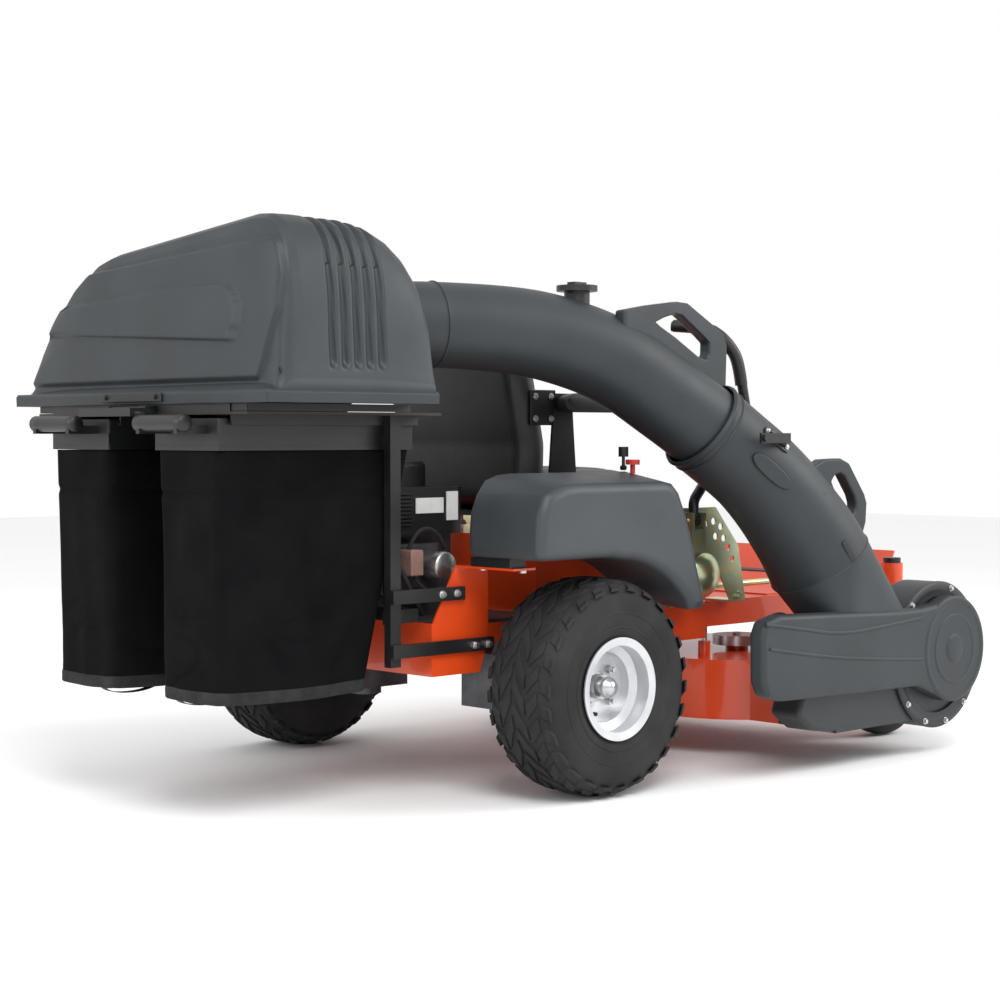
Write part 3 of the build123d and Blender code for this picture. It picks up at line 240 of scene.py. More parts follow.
paint(both("_rear_rim") + both("_caster_rim"), RIM)
paint(both("_wheel_hub") + ["chassis_bolts"], BRIGHT)
paint(both("_frame_rail") + ["rear_guard", "front_beam", "foot_pan", "seat_deck", "deck_shell"], RED)
paint(both("_caster_fork") + both("_lap_bar") + ["bagger_frame", "cross_tie", "seat_frame", "lift_pedal",
    "parking_brake_lever"], STEEL_BLACK)
paint(both("_lever_pivot") + ["lever_brackets"], ZINC)
paint(both("_blade") + ["impeller"], BRIGHT)
paint(["engine_block", "transaxles", "muffler"], METAL)
paint(["engine_shroud", "hood_base", "chute_inlet_panel", "throttle_lever", "fuel_cap", "chute_latch",
    "sight_plug", "lid_latch"] + both("_bag_rim"), BLACK)
paint(["blower_housing"], BOOT)
paint(["pto_knob"], KNOB_RED)
paint(both("_armrest") + ["seat_cushion", "seat_back"], VINYL)
paint(both("_bag"), CLOTH)
paint(["lid", "upper_chute", "lower_chute", "belt_cover"], SLATE)
paint(both("_fender"), FENDER)
paint(both("_rear_tyre") + both("_caster_tyre"), RUBBER)


# ------------------------------------------------------------------ mesh helpers
def finish_piece(name, verts, faces, mat, body, smooth=True, bevel=0.0, segments=4, sub=0, angle=30,
    slot=None):
    mesh = bpy.data.meshes.new(name)
    mesh.from_pydata([tuple(v) for v in verts], [], faces)
    mesh.update()
    obj = bpy.data.objects.new(name, mesh)
    bpy.context.scene.collection.objects.link(obj)
    bm = bmesh.new()
    bm.from_mesh(mesh)
    bmesh.ops.remove_doubles(bm, verts=bm.verts, dist=1e-6)
    bmesh.ops.recalc_face_normals(bm, faces=bm.faces)
    bm.to_mesh(mesh)
    bm.free()
    for p in mesh.polygons:
        p.use_smooth = smooth
    mesh.materials.append(mat)
    if bevel:
        b = obj.modifiers.new("edges", "BEVEL")
        b.width = bevel
        b.segments = segments
        b.limit_method = "ANGLE"
        b.angle_limit = math.radians(angle)
        w = obj.modifiers.new("shade", "WEIGHTED_NORMAL")
        w.keep_sharp = False
    if sub:
        s = obj.modifiers.new("sub", "SUBSURF")
        s.levels = sub
        s.render_levels = sub
    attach(obj, body)
    return obj


def mm(points):
    return [Vector(p) * MM for p in points]


def grid_faces(rows, cols, close_cols=False, close_rows=False):
    faces = []
    for r in range(rows if close_rows else rows - 1):
        for c in range(cols if close_cols else cols - 1):
            r2, c2 = (r + 1) % rows, (c + 1) % cols
            faces.append((r * cols + c, r2 * cols + c, r2 * cols + c2, r * cols + c2))
    return faces


def prism(name, first, last, mat, body, **kw):
    """Closed solid between two outlines with the same number of points."""
    n = len(first)
    verts = mm(first) + mm(last)
    faces = [tuple(range(n)), tuple(range(2 * n - 1, n - 1, -1))]
    faces += [(i, (i + 1) % n, n + (i + 1) % n, n + i) for i in range(n)]
    return finish_piece(name, verts, faces, mat, body, **kw)


def ring_prism(name, outer, inner, y0, y1, mat, body, **kw):
    """A flat loop of outer and inner outlines along X and Z, from y0 to y1."""
    n = len(outer)
    verts = []
    for y in (y0, y1):
        verts += mm([(x, y, z) for x, z in outer])
        verts += mm([(x, y, z) for x, z in inner])
    faces = []
    for i in range(n):
        j = (i + 1) % n
        faces.append((i, j, n + j, n + i))
        faces.append((2 * n + i, 3 * n + i, 3 * n + j, 2 * n + j))
        faces.append((i, 2 * n + i, 2 * n + j, j))
        faces.append((n + i, n + j, 3 * n + j, 3 * n + i))
    return finish_piece(name, verts, faces, mat, body, **kw)


def turned(name, profile, centre, axis, mat, body, steps=64, closed=False, **kw):
    """Profile of (along, radius) turned about the axis, in millimetres."""
    a = Vector(axis).normalized()
    u = a.orthogonal().normalized()
    v = a.cross(u)
    c = Vector(centre)
    verts = []
    for k in range(steps):
        t = 2 * math.pi * k / steps
        d = u * math.cos(t) + v * math.sin(t)
        verts += [(c + a * along + d * r) * MM for along, r in profile]
    return finish_piece(name, verts, grid_faces(steps, len(profile), closed, True), mat, body, **kw)


def hexbolt(name, centre, axis, r, h, mat, body):
    """Hex bolt head on a washer."""
    a = Vector(axis).normalized()
    u = a.orthogonal().normalized()
    v = a.cross(u)
    c = Vector(centre)
    verts, faces = [], []

    def disc(low, high, rad, n):
        base = len(verts)
        for h_ in (low, high):
            for k in range(n):
                t = 2 * math.pi * k / n
                verts.append((c + a * h_ + (u * math.cos(t) + v * math.sin(t)) * rad) * MM)
        faces.append(tuple(base + k for k in range(n)))
        faces.append(tuple(base + n + k for k in reversed(range(n))))
        for k in range(n):
            faces.append((base + k, base + (k + 1) % n, base + n + (k + 1) % n, base + n + k))

    disc(0, 1.6, r * 1.35, 24)
    disc(1.7, 1.6 + h, r, 6)
    return finish_piece(name, verts, faces, mat, body, smooth=False, bevel=0.0006, segments=2)


def tube(name, points, r, mat, body, order=3):
    """Round bar or hose along a smooth line, as a mesh."""
    cu = bpy.data.curves.new(name + "_line", "CURVE")
    cu.dimensions = "3D"
    cu.bevel_depth = r * MM
    cu.bevel_resolution = 6
    cu.use_fill_caps = True
    sp = cu.splines.new("NURBS")
    sp.points.add(len(points) - 1)
    for i, p in enumerate(points):
        sp.points[i].co = (*(Vector(p) * MM), 1)
    sp.order_u = order
    sp.use_endpoint_u = True
    sp.resolution_u = 12
    tmp = bpy.data.objects.new(name + "_tmp", cu)
    mesh = bpy.data.meshes.new_from_object(tmp)
    bpy.data.objects.remove(tmp)
    obj = bpy.data.objects.new(name, mesh)
    bpy.context.scene.collection.objects.link(obj)
    mesh.materials.clear()
    mesh.materials.append(mat)
    for p in mesh.polygons:
        p.use_smooth = True
    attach(obj, body)
    return obj


def smooth(x, a, b):
    t = max(0.0, min(1.0, (x - a) / (b - a)))
    return t * t * (3 - 2 * t)


def interp(x, table):
    if x <= table[0][0]:
        return table[0][1]
    for (x0, y0), (x1, y1) in zip(table, table[1:]):
        if x <= x1:
            return y0 + (y1 - y0) * (x - x0) / (x1 - x0)
    return table[-1][1]


# ------------------------------------------------------------------ hood
LIP_Z = 890.0
ROOF = [(-478, 902), (-474, 960), (-468, 1050), (-462, 1120), (-452, 1180), (-436, 1228), (-410, 1262),
        (-370, 1281), (-320, 1284), (200, 1232), (260, 1216), (330, 1172), (400, 1102), (450, 1035), (470,
            975), (478, 902)]


def roof(y):
    if abs(y) > 477.5:
        return 902
    total = 0
    for k in (-8, -4, 0, 4, 8):
        total += interp(max(-478, min(478, y + k)), ROOF)
    return total / 5


def arch_level(y, z, inset):
    """1 inside the raised arch on the rear face, 0 outside, with a soft edge."""
    right = -455 + inset * 1.2
    top = min(1200 - inset * 0.75 + (-y + 60) * 0.055, 1232 - inset)
    corner = 60 + inset * 0.2
    dy = max(0.0, right + corner - y)
    dz = max(0.0, z - (top - corner))
    outside = math.hypot(dy, dz) - corner if dy > 0 and dz > 0 else max(z - top, right - y)
    lean = right + (1080 - z) * 0.28
    if z < 1080:
        outside = max(outside, lean - y)
    return 1 - smooth(outside, -3, 3)


def hood_point(u, y):
    """Point of the hood at profile parameter u (0 rear lip to 1 front lip) and this Y."""
    h = roof(y)
    full = 1288.0
    k = (h - LIP_Z) / (full - LIP_Z)
    prof = [(0.0, -875, 890), (0.035, -875, 906), (0.05, -866, 914), (0.09, -846, 930), (0.16, -838, 985),
        (0.28, -828, 1090),
            (0.40, -814, 1200), (0.455, -806, 1250), (0.485, -795, 1275), (0.51, -772, 1287), (0.55, -730,
                1288),
            (0.66, -600, 1285), (0.70, -550, 1277), (0.74, -505, 1256), (0.78, -468, 1226), (0.82, -440,
                1186),
            (0.86, -426, 1140), (0.90, -421, 1060), (0.955, -420, 930), (0.965, -419, 914), (0.975, -416,
                910), (1.0, -415, 890)]
    for a, b in zip(prof, prof[1:]):
        if u <= b[0] or b is prof[-1]:
            t = (u - a[0]) / (b[0] - a[0])
            x = a[1] + (b[1] - a[1]) * t
            z = a[2] + (b[2] - a[2]) * t
            break
    low = 914.0
    if z > low:
        z = low + (z - low) * max(0.0, (h - low)) / (full - low)
    return x, z


ys = []
for k in range(61):
    ys.append(-478 + 70 * (1 - math.cos(math.pi / 2 * k / 60)) if k < 60 else -408)
ys += [-408 + (k + 1) * 11 for k in range(56)]
ys += [208 + (k + 1) * 9 for k in range(25)]
ys += [433 + 45 * math.sin(math.pi / 2 * (k + 1) / 26) for k in range(26)]
us = [k / 300 for k in range(301)]
GROOVES = [-700, -667, -634, -601, -568]
hood_verts = []
for y in ys:
    for u in us:
        x, z = hood_point(u, y)
        push = 0.0
        # Raised arches on the rear face
        if u < 0.47 and z > 930:
            fade = smooth(z, 985, 1000) if y > -400 else 1
            push += 11 * arch_level(y, z, 0) * smooth(z, 930, 945)
            push += 9 * arch_level(y, z, 95) * smooth(z, 1006 + (y + 472) * 0.05, 1014 + (y + 472) * 0.05)
            x -= push
        # Grooves on the right front flank, running up over the roof
        if y < -300 and z > 955:
            for g in GROOVES:
                shift = (z - 955) * 0.03
                d = abs(x - g - shift)
                if d < 12:
                    depth = 13 * (1 - smooth(d, 4, 11)) * smooth(z, 955, 975) * (1 - smooth(y, -380, -310))
                    z -= depth * 0.7 if z > 1180 else 0
                    hood_y = y + depth
                    break
            else:
                hood_y = y
        else:
            hood_y = y
        hood_verts.append(Vector((x, hood_y, z)) * MM)
rows, cols = len(ys), len(us)
faces = []
for f in grid_faces(rows, cols):
    c = sum((hood_verts[i] for i in f), Vector()) / 4 / MM
    in_notch = c.x > -480 and ((abs(c.y + 297) < 114 and c.z < 1068) or math.hypot(c.y + 297,
        c.z - 1084) < 114)
    if not in_notch:
        faces.append(f)
hood = finish_piece("hood_shell", hood_verts, faces, SLATE, "hood", slot="slate_plastic")
solid = hood.modifiers.new("wall", "SOLIDIFY")
solid.thickness = 0.004
solid.offset = -1
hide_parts("lid")
# Rolled lip band round the hood
lip = []
for x, y in ((-877, -480), (-413, -480), (-413, 480), (-877, 480)):
    lip.append((x, y))
for i, (a, b) in enumerate(zip(lip, lip[1:] + lip[:1])):
    if i == 1:
        spans = [((-413, -480), (-413, -416)), ((-413, -178), (-413, 480))]
    else:
        spans = [(a, b)]
    for j, (p, q) in enumerate(spans):
        d = Vector((q[0] - p[0], q[1] - p[1], 0)).normalized()
        out = Vector((d.y, -d.x, 0))
        P, Q = Vector((p[0], p[1], 0)), Vector((q[0], q[1], 0))
        sect = [(-10, 888), (1, 888), (2, 910), (-4, 916), (-12, 914)]
        prism("hood_lip_%d_%d" % (i, j), [P + out * s + Vector((0, 0, z)) for s, z in sect],
              [Q + out * s + Vector((0, 0, z)) for s, z in sect], SLATE, "hood", bevel=0.002, segments=3)
# Seal between the hood and its base
for k, (ax, ay, bx, by) in enumerate(((-862, -397, -862, 397), (-862, -398, -424, -398), (-862, 398, -424,
    398), (-424, -180, -424, 398))):
    dx, dy = (3, 0) if ax == bx else (0, 3)
    prism("hood_seal_%d" % k, [(ax, ay, 872), (bx, by, 872), (bx + dx, by + dy, 872), (ax + dx, ay + dy,
        872)],
          [(ax, ay, 888), (bx, by, 888), (bx + dx, by + dy, 888), (ax + dx, ay + dy, 888)], BLACK,
              "chassis", smooth=False)
# Ring round the chute's mouth, behind the front wall
inlet = turned("inlet_ring", [(0, 101), (0, 128), (5, 130), (8, 128), (8, 101)], (-447, -297, 1084), (1, 0,
    0), BLACK, "chassis", steps=72, closed=True)
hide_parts("chute_inlet_panel")
# Hinge ears of the hood
for k, y in enumerate((52.3, 177.7)):
    prism("hood_ear_%d" % k, [(x, y, z) for x, z in ((-446, 1203), (-384, 1203), (-384, 1227), (-440,
        1227))],
          [(x, y + 12, z) for x, z in ((-446, 1203), (-384, 1203), (-384, 1227), (-440, 1227))], SLATE,
              "hood", bevel=0.003)
# Latch plate and its screws on the rear lip
prism("hood_latch_plate", [(-879, -120, 893), (-879, 110, 893), (-879, 110, 913), (-879, -120, 913)],
      [(-884, -120, 893), (-884, 110, 893), (-884, 110, 913), (-884, -120, 913)], BLACK, "hood",
          bevel=0.002)
for k, y in enumerate((-100, 90)):
    hexbolt("hood_latch_screw_%d" % k, (-884, y, 904), (-1, 0, 0), 5, 4, STEEL_BLACK, "hood")
hexbolt("hood_side_screw", (-838, -474, 955), (0, -1, 0), 4, 3, STEEL_BLACK, "hood")


# ------------------------------------------------------------------ chute
def chute_y(x):
    return -300 - 0.293 * (x + 400)


def spline(points, n):
    """Even samples on a Catmull-Rom line through (x, z, r) stations."""
    out = []
    P = [points[0]] + list(points) + [points[-1]]
    for i in range(1, len(P) - 2):
        p0, p1, p2, p3 = (Vector(P[i + k]) for k in (-1, 0, 1, 2))
        for s in range(n):
            t = s / n
            square = (2 * p0 - 5 * p1 + 4 * p2 - p3) * t * t
            cube = (3 * p1 - p0 - 3 * p2 + p3) * t ** 3
            out.append(0.5 * ((2 * p1) + (p2 - p0) * t + square + cube))
    out.append(Vector(points[-1]))
    return out


def duct(name, stations, mat, body, wall=4.0, base=None, seg=72):
    line = spline(stations, 10)
    rings = []
    for i, (x, z, r) in enumerate(line):
        a, b = line[max(i - 1, 0)], line[min(i + 1, len(line) - 1)]
        run = Vector((b.x - a.x, chute_y(b.x) - chute_y(a.x), b.y - a.y)).normalized()
        side = Vector((run.y, -run.x, 0)).normalized()
        up = side.cross(run).normalized()
        if up.z < 0:
            up = -up
        c = Vector((x, chute_y(x), z))
        rings.append((c, side, up, r))
    loops = []
    for c, side, up, r in rings:
        turn = [2 * math.pi * k / seg for k in range(seg)]
        loops.append([c + side * (r * math.cos(t)) + up * (r * math.sin(t)) for t in turn])
    if base:
        cx, cy, cz, hx, hy = base
        last = loops[-1]
        target = []
        for p in last:
            d = p - rings[-1][0]
            ang = math.atan2(d.y / rings[-1][3], d.x / rings[-1][3])
            ca, sa = math.cos(ang), math.sin(ang)
            e = 0.42
            target.append(Vector((cx + hx * math.copysign(abs(ca) ** e, ca),
                cy + hy * math.copysign(abs(sa) ** e, sa), cz)))
        for k in range(1, 15):
            t = k / 14
            w = smooth(t, 0, 1)
            loops.append([a.lerp(b, t * 0.6 + 0.4 * w) for a, b in zip(last, target)])
    verts = [p * MM for loop in loops for p in loop]
    obj = finish_piece(name, verts, grid_faces(len(loops), seg, True), mat, body, slot="slate_plastic")
    m = obj.modifiers.new("wall", "SOLIDIFY")
    m.thickness = wall * MM
    m.offset = -1
    return obj


UPPER = [(-446, 1067, 95), (-293, 1070, 96), (-118, 1063, 99), (-9, 1047, 101), (104, 1015, 102), (192, 974,
    102),
         (279, 919, 102), (376, 857, 104), (444, 807, 106)]
LOWER = [(392, 846, 113.5), (420, 825, 114), (483, 779, 114), (548, 728, 116), (619, 656, 121), (690, 568,
    128), (728, 508, 132)]
upper = duct("upper_duct", UPPER, SLATE, "deck")
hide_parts("upper_chute")
lower = duct("lower_duct", LOWER, SLATE, "deck", base=(785, -690, 372, 140, 92))
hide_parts("lower_chute")
# Collar bead where the two halves meet, and two faint mould ridges
for k, (x, z, r, w) in enumerate(((394, 844.5, 114, 5), (412, 831, 114.5, 2.5), (-300, 1070, 97, 2.0), (730,
    505, 132, 2.5))):
    c = Vector((x, chute_y(x), z))
    slope = {0: (54, -40), 1: (54, -40), 2: (1, 0.02), 3: (45, -70)}[k]
    run = Vector((slope[0], -0.293 * slope[0], slope[1])).normalized()
    prof = [(-w * 1.6, r - 2), (-w, r + w * 0.6), (0, r + w), (w, r + w * 0.6), (w * 1.6, r - 2)]
    turned("chute_bead_%d" % k, prof, c, run, SLATE, "deck", steps=96)

# Carrying loops
ring_prism("upper_handle", [(120, 1112), (215, 1128), (308, 1140), (345, 1138), (478, 1070), (492, 1040),
    (488, 930), (470, 880), (380, 900), (300, 950), (200, 1010), (120, 1060)],
           [(232, 1088), (262, 1100), (300, 1110), (322, 1108), (400, 1062), (424, 1046), (424, 1020), (414,
               1006), (385, 1012), (350, 1030), (300, 1056), (250, 1078)],
           -531, -497, SLATE, "deck", bevel=0.007, segments=4, slot="slate_plastic")
ring_prism("lower_handle", [(650, 742), (700, 762), (772, 764), (806, 752), (872, 672), (882, 650), (878,
    600), (860, 560), (800, 560), (760, 600), (720, 640), (680, 690)],
           [(734, 706), (748, 722), (768, 728), (786, 720), (826, 672), (836, 650), (834, 634), (822, 624),
               (806, 628), (786, 648), (762, 672), (744, 690)],
           -668, -634, SLATE, "deck", bevel=0.007, segments=4, slot="slate_plastic")


def chute_frame(x, angle):
    """Point and axes on the chute's right flank: angle 0 is level outwards, positive towards the top."""
    tab = LOWER if x > 400 else UPPER
    z = interp(x, [(s[0], s[1]) for s in tab])
    r = interp(x, [(s[0], s[2]) for s in tab])
    z2 = interp(x + 5, [(s[0], s[1]) for s in tab])
    run = Vector((5, -0.293 * 5, z2 - z)).normalized()
    side = Vector((run.y, -run.x, 0)).normalized()
    up = side.cross(run).normalized()
    if up.z < 0:
        up = -up
    a = math.radians(angle)
    n = side * math.cos(a) + up * math.sin(a)
    if n.y > 0:
        n = -side * math.cos(a) + up * math.sin(a)
    c = Vector((x, chute_y(x), z))
    return c + n * r, run, n, n.cross(run).normalized()


def pad(name, x, angle, outline, height, mat, body, bevel=0.003, sink=3):
    p, run, n, across = chute_frame(x, angle)
    low = [p + run * a + across * b - n * sink for a, b in outline]
    high = [p + run * a + across * b + n * height for a, b in outline]
    return prism(name, low, high, mat, body, bevel=bevel, segments=4)


def oval(a, b, n=20, power=0.8):
    pts = []
    for k in range(n):
        t = 2 * math.pi * k / n
        c, s = math.cos(t), math.sin(t)
        pts.append((a * math.copysign(abs(c) ** power, c), b * math.copysign(abs(s) ** power, s)))
    return pts


pad("chute_oval_boss", 522, -8, oval(66, 20), 7, SLATE, "deck", bevel=0.005)
pad("chute_slot_frame", 716, 6, oval(36, 9, 12, 0.4), 2, SLATE, "deck", bevel=0.001)
# Black oval inside the slot frame: painted shade standing for the dark inside of the slot's opening
pad("chute_slot_painted_shade", 716, 6, oval(31, 5.5, 12, 0.4), 2.6, BLACK, "deck", bevel=0.0008)
# Thin black disc: painted shade standing for the dark inside of a small hole in the chute
pad("chute_hole_painted_shade", 628, 26, oval(4, 4, 12, 1), 0.6, BLACK, "deck", bevel=0.0004)
pad("chute_strap_plate", 502, 30, oval(44, 15, 12, 0.5), 5, STEEL_BLACK, "deck", bevel=0.002)
pad("chute_strap_pull", 500, 30, oval(30, 8, 12, 0.6), 14, BLACK, "deck", bevel=0.004)
for k, x in enumerate((478, 526)):
    p, run, n, across = chute_frame(x, 30)
    hexbolt("chute_strap_screw_%d" % k, p + n * 5, n, 5, 4, BRIGHT, "deck")

# ------------------------------------------------------------------ fenders
ARCH_R = 293.0


def fender_outline(front, top):
    pts = [(-262, 548), (-262, 600), (-258, 650), (-240, 690), (-214, top - 14), (-180, top - 3), (-140,
        top)]
    pts += [(front - 150, top), (front - 120, top - 6), (front - 98, top - 26), (front - 78, top - 66),
        (front - 58, 600), (front - 40, 540),
            (front - 18, 470), (front, 415), (front - 62, 415)]
    for k in range(8):
        a = math.radians(40 + k * 7.2)
        pts.append((ARCH_R * math.cos(a), 250 + ARCH_R * math.sin(a)))
    pts += [(-20, 548), (-140, 548)]
    return pts


for name, s in SIDES:
    first = [(x, s * 400, z) for x, z in fender_outline(400, 737)]
    last = [(x, s * 640, z) for x, z in fender_outline(292, 714)]
    cover = prism(name + "_fender_shell", first, last, FENDER, "chassis", bevel=0.022, segments=6, angle=38,
        slot="slate_plastic")
    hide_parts(name + "_fender")
    # Foot under the rear of the fender
    prism(name + "_fender_foot", [(-249, s * 401, 528), (-200, s * 401, 528), (-200, s * 401, 550), (-249,
        s * 401, 550)],
          [(-249, s * 530, 528), (-200, s * 530, 528), (-200, s * 530, 550), (-249, s * 530, 550)], BLACK,
              "chassis", bevel=0.002)

# ------------------------------------------------------------------ blower and belt cover
def cover_outline(grow):
    pts = []
    for k in range(25):
        a = math.radians(118 - k * (118 + 100) / 24)
        pts.append((1095 + (138 + grow) * math.cos(a), 273 + (138 + grow) * math.sin(a)))
    pts += [(940, 186 - grow * 0.6), (700, 190 - grow * 0.6), (400, 196 - grow), (330 - grow, 214),
        (312 - grow, 250), (310 - grow, 360), (326, 392 + grow * 0.6), (380, 404 + grow * 0.6), (600,
        396 + grow * 0.6), (860, 386 + grow * 0.6), (960, 386 + grow * 0.3)]
    return pts


first = [(x, -745.5, z) for x, z in cover_outline(0)]
last = [(x, -789, z) for x, z in cover_outline(-5)]
cover = prism("belt_cover_shell", first, last, SLATE, "deck", bevel=0.012, segments=5, angle=35,
    slot="slate_plastic")
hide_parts("belt_cover")
turned("belt_cover_rim", [(0, 136), (3, 134), (5, 128), (5, 120), (1, 112), (-1, 104)], (1095, -786, 273),
    (0, -1, 0), SLATE, "deck", steps=96)
turned("belt_cover_ring", [(0, 92), (3, 90), (4, 84), (1, 78), (1, 40), (4, 36), (6, 28), (6, 2), (6, 0.1)],
    (1095, -787, 273), (0, -1, 0), SLATE, "deck", steps=96)
for k, line in enumerate((((322, 385), (460, 366), (604, 343), (780, 350), (950, 362)), ((336, 327), (500,
    300), (700, 276), (950, 257)))):
    tube("belt_cover_ridge_%d" % k, [(x, -787, z) for x, z in line], 5, SLATE, "deck")
# Round bolted plate behind the disc
turned("blower_plate", [(0, 150), (0, 187), (3, 189), (8, 189), (11, 187), (11, 168), (8, 164), (8, 150)],
    (1070, -744, 257), (0, -1, 0), BOOT, "deck", steps=96)
for k in range(12):
    a = 2 * math.pi * k / 12 + 0.2
    x, z = 1070 + 177 * math.cos(a), 257 + 177 * math.sin(a)
    if z < 415 or x > 1100:
        hexbolt("blower_bolt_%02d" % k, (x, -755, z), (0, -1, 0), 6, 5, BRIGHT, "deck")
# Black boot under the cover
prism("boot_skirt", [(x, -746, z) for x, z in ((520, 200), (1000, 200), (960, 110), (640, 97), (560, 110),
    (500, 150))],
      [(x, -656, z) for x, z in ((520, 200), (1000, 200), (960, 110), (640, 97), (560, 110), (500, 150))],
          BOOT, "deck", bevel=0.012, segments=4)
prism("boot_top", [(x, -748, z) for x, z in ((500, 300), (650, 300), (650, 372), (520, 366))],
      [(x, -600, z) for x, z in ((500, 300), (650, 300), (650, 366), (520, 360))], BOOT, "deck",
          bevel=0.012, segments=4)
turned("boot_knob", [(0, 3), (0, 14), (4, 18), (14, 18), (18, 14), (20, 0.1)], (560, -640, 370), (0, 0, 1),
    BLACK, "deck", steps=32)


# ------------------------------------------------------------------ tyres
def tyre(name, centre, profile, radius, half, rows, lug_h, body, cad):
    cx, cy, cz = centre
    steps = 144
    base = turned(name + "_carcass", profile, centre, (0, 1, 0), RUBBER, body, steps=steps, slot="tyre")
    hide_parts(cad)
    verts, faces = [], []

    def surf(y, lift):
        r = interp(y, sorted(profile_top))
        return r + lift

    profile_top = [(a, r) for a, r in profile if r > radius * 0.86]
    count = rows
    for k in range(count):
        a0 = 2 * math.pi * k / count
        for s in (-1, 1):
            for band, (y0, y1, lean, width) in enumerate(((0.04, 0.36, 0.9, 0.58), (0.44, 0.70, -0.5, 0.62),
                (0.78, 0.97, 0.25, 0.55))):
                off = (0.5 if s > 0 else 0.0) + band * 0.33
                base_i = len(verts)
                pitch = 2 * math.pi / count
                n = 4
                for i in range(n + 1):
                    f = i / n
                    y = s * half * (y0 + (y1 - y0) * f)
                    mid = a0 + pitch * (off + lean * (f - 0.5))
                    for e, lift in ((-0.5, -1.5), (-0.42, lug_h), (0.42, lug_h), (0.5, -1.5)):
                        ang = mid + pitch * width * e
                        r = surf(y, lift)
                        verts.append(Vector((cx + r * math.cos(ang), cy + y, cz + r * math.sin(ang))) * MM)
                for i in range(n):
                    for j in range(3):
                        p = base_i + i * 4 + j
                        faces.append((p, p + 4, p + 5, p + 1))
                faces.append((base_i, base_i + 1, base_i + 2, base_i + 3))
                e = base_i + n * 4
                faces.append((e + 3, e + 2, e + 1, e))
    finish_piece(name + "_tread", verts, faces, RUBBER, body, smooth=False, bevel=0.0012, segments=2)


REAR = [(-88, 103), (-90, 118), (-97, 130), (-100, 160), (-100, 188), (-96, 208), (-88, 224), (-76, 234),
    (-60, 240), (-30, 243),
        (0, 244), (30, 243), (60, 240), (76, 234), (88, 224), (96, 208), (100, 188), (100, 160), (97, 130),
            (90, 118), (88, 103)]
FRONT = [(-31, 77), (-42, 84), (-45, 96), (-43, 116), (-36, 130), (-22, 137), (0, 139.5), (22, 137), (36,
    130), (43, 116), (45, 96), (42, 84), (31, 77)]
for name, s in SIDES:
    tyre(name + "_turf", (0, s * REAR_Y, REAR_Z), REAR, 250, 100, 26, 6, name + "_wheel", name + "_rear_tyre")
    base = turned(name + "_caster_carcass", FRONT, (CASTER[0], s * CASTER[1], CASTER[2]), (0, 1, 0), RUBBER,
        name + "_caster_wheel", steps=96, slot="caster_tyre")
    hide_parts(name + "_caster_tyre")
    # Raised rings on the sidewalls
    for k, (a, r) in enumerate(((98.6, 140), (100.2, 172))):
        turned(name + "_turf_ring_%d" % k, [(a - 1, r - 3), (a + 0.8, r - 1.4), (a + 0.8, r + 1.4), (a - 1,
            r + 3)], (0, s * REAR_Y, REAR_Z), (0, s, 0), RUBBER, name + "_wheel", steps=96)
    turned(name + "_valve", [(0, 0.1), (0, 3), (14, 3.4), (18, 4.4), (26, 4.4), (27, 0.1)], (-74, s * 600,
        250 - 50), (0, s, 0), RUBBER, name + "_wheel", steps=16)
    turned(name + "_hub_cap", [(0, 24), (3, 25), (10, 23), (13, 17), (20, 16), (22, 0.1)], (0, s * 588,
        250), (0, s, 0), BRIGHT, name + "_wheel", steps=48)


